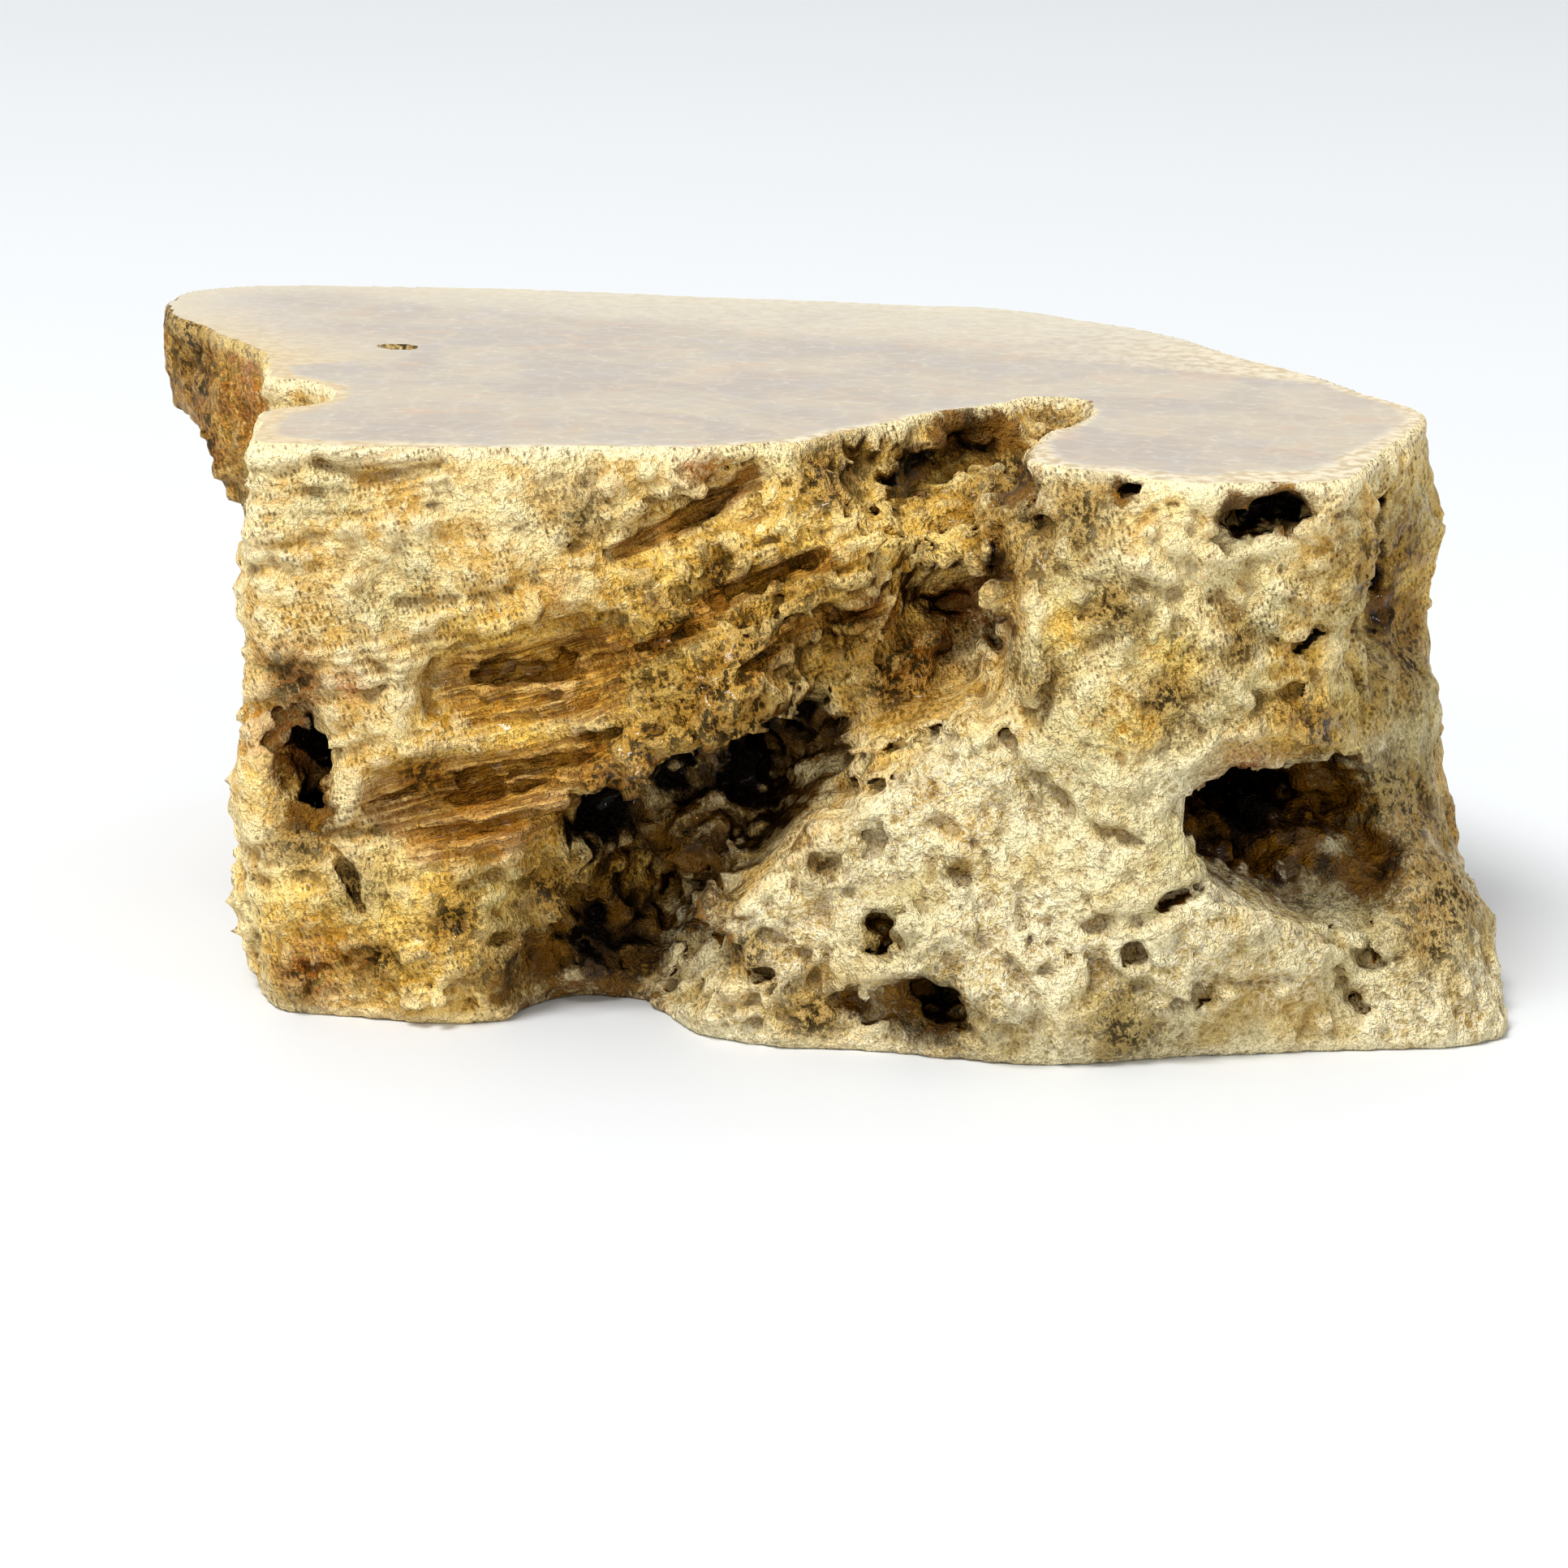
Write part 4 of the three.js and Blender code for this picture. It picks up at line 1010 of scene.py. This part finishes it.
def weathered_coral():
    """The rough rim: cream and golden coral with rows of pores, pale apron, dark wet hollows
    deepened with painted shade.
    """
    f = Finish("weathered_coral")
    at = f.place
    layers = f.step("Attribute", {}, output="Vector", attribute_name="growth")
    hollow, crevice, furrow, apron, laminar = f.marks(
        "hollow", "crevice", "furrow", "apron", "laminar"
    )
    pitch, umber_and_shade, soot, rust, gold, ash = f.marks("pitch", "umber_and_shade", "soot", "rust", "gold", "ash")
    broad, patch, porous, damp = f.marks("broad", "patch", "porous", "damp")

    crumb = f.noise(at, 1.25, 3.0, 0.72)
    fibre = f.noise(f.squeeze(layers, (2.4, 1.0, 1.1)), 0.8, 2.0, 0.65)
    seam = f.noise(f.squeeze(layers, (0.14, 0.3, 1.0)), 1.0, 3.0, 0.62)
    uneven = crumb - 0.5

    # thin parallel lamellae along the growth layers
    across = f.part(layers, "Z") * 6.6 + uneven * 4.0
    lamella = f.step("Math", {0: across}, operation="SINE")
    laminar = laminar * (1.0 - apron)

    # rows of small pores in the growth layers, thinning out in patches
    rows = f.cells(f.squeeze(layers, (1.1, 0.5, 0.62)), 0.52, 0.4)
    pores = f.rise(rows + fibre * 0.7, 0.78, 0.5) * f.rise(porous, 0.38, 0.6)
    pores = pores * f.rise(apron | soot * 0.7, 0.8, 0.1)

    # split strands in the furrows
    strand = f.noise(f.squeeze(layers, (0.16, 0.5, 2.0)), 1.0, 2.0, 0.6)
    strands = f.rise(strand, 0.54, 0.44) * furrow

    # winding channels and pale walls of the apron
    sway = f.step("TexNoise", {"Vector": at, "Scale": 0.9, "Detail": 1.0}, output="Color")
    warped = f.step("VectorMath", {0: sway, 1: (2.6, 2.6, 2.6), 2: at}, operation="MULTIPLY_ADD")
    walls = f.cells(warped, 1.1, 1.0, feature="DISTANCE_TO_EDGE")
    channels = f.rise(walls, 0.1, 0.34) * f.rise(crumb, 0.6, 0.4) * (apron | soot * 0.6)
    veins = f.rise(walls, 0.16, 0.03) * (apron * f.rise(broad, 0.3, 0.6))

    # ground colours
    cream = f.blend(f.rise(patch, 0.2, 0.75), "#d2a858", "#eed89e")
    golden = f.blend(f.rise(patch, 0.2, 0.7), "#c49434", "#f8ce70")
    pale = f.blend(f.rise(patch, 0.2, 0.75), "#cab070", "#f0e2b2")
    pale = f.blend(f.rise(crumb, 0.52, 0.38, 0.4), pale, "#a88c50")
    base = f.lay(
        cream,
        (f.rise(gold + (broad - 0.5), 0.05, 0.7), golden),
        (f.rise(seam, 0.54, 0.68, 0.5), "#fae4a2"),
        (f.rise(seam, 0.44, 0.32, 0.45), "#b07c24"),
        (f.rise(apron, 0.2, 0.75) * (1.0 - gold * 0.6), pale),
        (veins * 0.4, "#fff8e0"),
        (ash * f.rise(crumb, 0.3, 0.55, 0.7), "#cabd84"),
        (rust * f.rise(crumb, 0.32, 0.56, 0.85), "#a8560f"),
    )

    # fine light and dark crumbs and fibres, weaker on the apron
    bold = 1.0 - apron * 0.5
    base = f.lay(
        base,
        (bold * f.rise(crumb, 0.53, 0.66, 0.45), "#f8eebe"),
        (bold * f.rise(crumb, 0.47, 0.34, 0.42), "#926212"),
        (bold * f.rise(fibre, 0.53, 0.68, 0.3), "#f8efc2"),
        (bold * f.rise(fibre, 0.47, 0.34, 0.38), "#7c5410"),
    )

    # wear on the upper edge and on what stands out; dirt and painted shade in what lies in
    worn_edge = f.rise(f.part(at, "Z") + uneven * 3.0, 50.6, 51.6, 0.45)
    base = f.lay(
        base,
        (worn_edge, "#fff0c4"),
        (f.rise(crevice, 0.47, 0.36, 0.35), "#fff0c4"),
        (f.rise(crevice, 0.52, 0.66, 0.54), "#6c460e"),
        (f.rise(lamella, 0.3, -0.9, 0.5) * laminar, "#80541a"),
        (pores * 0.7, "#543a0c"),
    )
    base = f.blend(gold * (1.0 - apron) * 0.6, base, "#fff2ac", "MULTIPLY")
    base = f.blend(f.rise(soot + uneven * 1.6, 0.15, 0.9, 0.8), base, "#b49c62", "MULTIPLY")
    specks = f.rise(crumb + fibre * 0.5, 0.77, 0.66) * soot
    base = f.lay(
        base,
        (f.rise(furrow, 0.3, 0.9, 0.45), "#bc7a18"),
        (strands * 0.55, "#643606"),
        (channels * 0.4, "#785a24"),
        (specks * 0.9, "#241c06"),
    )

    # inside of the hollows: their own dark wet brown, laid where a point lies sheltered and on the
    # umber spots, so partly painted shade
    inner = f.lay(
        f.blend(f.rise(patch, 0.3, 0.75), "#2a1504", "#6c4406"),
        (f.rise(crumb, 0.52, 0.68, 0.5), "#a87418"),
        (rust * 0.6, "#7c3a0a"),
    )
    sunk = f.rise(hollow + uneven * 0.6, 0.38, 0.72) * (1.0 - furrow * 0.6)
    depth = sunk | f.rise(umber_and_shade + uneven * 1.4, 0.3, 0.75, 0.95)
    # painted shade: near black where a point lies deep in a hollow or a crease and on the pitch
    # spots, less in the furrows and on the apron
    painted_shade = hollow + (crevice - 0.5) * 0.6 + uneven * 0.6 - furrow * 0.5
    painted_shade = painted_shade + (pitch * 0.7 - apron * 0.25)
    base = f.lay(base, (depth, inner), (f.rise(painted_shade, 0.62, 1.0, 0.97), "#040201"))

    # a patchy film of water, mostly in the hollows
    wet = sunk | f.rise(broad, 0.4, 0.7) * gold
    film = f.rise(damp + uneven * 1.2, 0.52, 0.68) * (wet * 0.35 + 0.12)

    broken = (soot | gold) | (apron | ash)
    height = crumb * (broken * 0.6 + 1.45) + fibre * 0.5
    height = height + lamella * laminar * 0.09 - strands * 0.3
    return f.finish(
        base,
        0.6 - wet * 0.36,
        height,
        Specular_IOR_Level=0.1,
        Coat_Weight=film,
        Coat_Roughness=0.05,
    )


def polished_top():
    """The polished face: agate in soft beige, pink-tan and grey with a weathered golden edge."""
    f = Finish("polished_top")
    at = f.place
    (rind,) = f.marks("rind")
    cloud = f.noise(at, 15.0, 3.0, 0.55, 0.8)
    haze = f.noise(at, 6.0, 3.0, 0.55, 0.5)
    fleck = f.noise(at, 1.2, 3.0, 0.6)
    grain = f.noise(at, 1.4, 3.0, 0.65)

    # golden at the left, greyer at the back
    border = f.lay(
        f.blend(f.rise(grain, 0.38, 0.6), "#b49a66", "#ded1ae"),
        (f.rise(f.part(at, "X"), -22.0, -46.0, 0.5), "#c2a25e"),
        (f.rise(f.part(at, "Y"), 48.0, 80.0, 0.7), "#c4bda8"),
    )
    # cut corallites show as a pale wall round each and a dark middle
    wall = f.cells(at, 4.2, 0.8, feature="DISTANCE_TO_EDGE")
    heart = f.cells(at, 4.2, 0.8)
    base = f.lay(
        f.blend(f.rise(cloud, 0.36, 0.62), "#937f64", "#a9956e"),
        (f.rise(haze, 0.5, 0.68, 0.4), "#948a82"),
        (f.rise(haze, 0.44, 0.3, 0.4), "#b48448"),
        (f.rise(wall, 0.12, 0.02, 0.08), "#ead9b4"),
        (f.rise(heart, 0.16, 0.06, 0.14), "#8a725a"),
        (f.rise(fleck, 0.56, 0.7, 0.22), "#e6d8bc"),
        (f.rise(fleck, 0.44, 0.3, 0.22), "#8c6c44"),
        (rind * 0.85, border),
    )
    return f.finish(base, rind * 0.25 + 0.08, fleck * 0.01 + grain * rind * 0.1)


def sawn_foot():
    """The sawn face under the block: the same stone, dull and faintly scored by the blade."""
    f = Finish("sawn_foot")
    at = f.place
    (rind,) = f.marks("rind")
    cloud = f.noise(at, 12.0, 4.0, 0.6, 0.5)
    fleck = f.noise(at, 1.1, 4.0, 0.65)
    score = f.noise(f.squeeze(at, (0.04, 1.6, 1.0)), 1.0, 2.0)
    base = f.lay(
        f.blend(f.rise(cloud, 0.36, 0.62), "#9c7443", "#cdb083"),
        (f.rise(fleck, 0.5, 0.7, 0.5), "#e6d6b2"),
        (f.rise(fleck, 0.44, 0.3, 0.5), "#6b4c26"),
        (rind * 0.7, "#d9bf85"),
    )
    return f.finish(base, 0.48, score * 0.05 + fleck * 0.05)


# ---------------------------------------------------------------- studio
def studio_floor():
    """A wide pale floor that the foot rests on."""
    work = bmesh.new()
    bmesh.ops.create_grid(work, x_segments=1, y_segments=1, size=6.0)
    mesh = bpy.data.meshes.new("studio_floor")
    work.to_mesh(mesh)
    work.free()
    floor = bpy.data.objects.new("studio_floor", mesh)
    bpy.context.scene.collection.objects.link(floor)
    paper = bpy.data.materials.new("pale_floor")
    paper.use_nodes = True
    shader = paper.node_tree.nodes["Principled BSDF"]
    shader.inputs["Base Color"].default_value = (0.68, 0.695, 0.705, 1.0)
    shader.inputs["Roughness"].default_value = 0.6
    mesh.materials.append(paper)
    return floor


def panel_light(name, at, size, watts):
    """A rectangular light that faces the block's middle."""
    data = bpy.data.lights.new(name, "AREA")
    data.shape = "RECTANGLE"
    data.size, data.size_y = size
    data.energy = watts
    light = bpy.data.objects.new(name, data)
    bpy.context.scene.collection.objects.link(light)
    light.location = at
    aim = Vector(BLOCK_MIDDLE) - Vector(at)
    light.rotation_euler = aim.to_track_quat("-Z", "Y").to_euler()
    return light


def studio_light():
    """A pale room, brightest behind the block, with one soft key and two thin strips."""
    world = bpy.data.worlds.new("studio")
    bpy.context.scene.world = world
    world.use_nodes = True
    tree = world.node_tree
    sky = tree.nodes["Background"]
    way = tree.nodes.new("ShaderNodeTexCoord")
    parts = tree.nodes.new("ShaderNodeSeparateXYZ")
    tree.links.new(way.outputs["Generated"], parts.inputs["Vector"])
    share = tree.nodes.new("ShaderNodeMapRange")
    share.inputs["From Min"].default_value = -0.3
    share.inputs["From Max"].default_value = 0.8
    share.inputs["To Min"].default_value = ROOM_FRONT
    share.inputs["To Max"].default_value = ROOM_BACK
    tree.links.new(parts.outputs["Y"], share.inputs["Value"])
    tree.links.new(share.outputs[0], sky.inputs["Strength"])
    sky.inputs["Color"].default_value = (0.97, 0.985, 1.0, 1.0)
    panel_light("key", (-0.9, -1.36, 2.55), (0.9, 0.9), 90.0)
    fill = panel_light("fill", (-0.2, -2.2, 0.5), (1.6, 0.8), 10.0)
    fill.visible_glossy = False
    panel_light("left_strip", (-1.7, -1.1, 1.1), (0.035, 0.9), 6.0)
    panel_light("right_strip", (1.4, -1.6, 1.4), (0.035, 0.9), 6.0)
    panel_light("front_strip", (0.1, -1.9, 1.0), (0.7, 0.03), 4.0)


def camera():
    """The camera in front of the block, a little above it."""
    data = bpy.data.cameras.new("camera")
    data.sensor_width = SENSOR
    data.lens = SENSOR * FOCAL_PIXELS / RENDER_SIDE
    data.clip_start = 0.01
    data.clip_end = 30.0
    view = bpy.data.objects.new("camera", data)
    bpy.context.scene.collection.objects.link(view)
    pitch, roll = math.radians(EYE_PITCH), math.radians(EYE_ROLL)
    at = (np.array(EYE) - BLOCK_TO_FRAME) * MM
    view.matrix_world = (
        Matrix.Translation(at)
        @ Matrix.Rotation(math.radians(90.0) - pitch, 4, "X")
        @ Matrix.Rotation(roll, 4, "Z")
    )
    bpy.context.scene.camera = view


def main():
    stone = Stone(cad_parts["fossil_coral"])
    weather(stone)
    piece = coral_block(stone)
    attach(piece, "root")
    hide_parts("fossil_coral")
    studio_floor()
    studio_light()
    camera()
    bpy.context.scene.view_settings.view_transform = "Standard"


main()
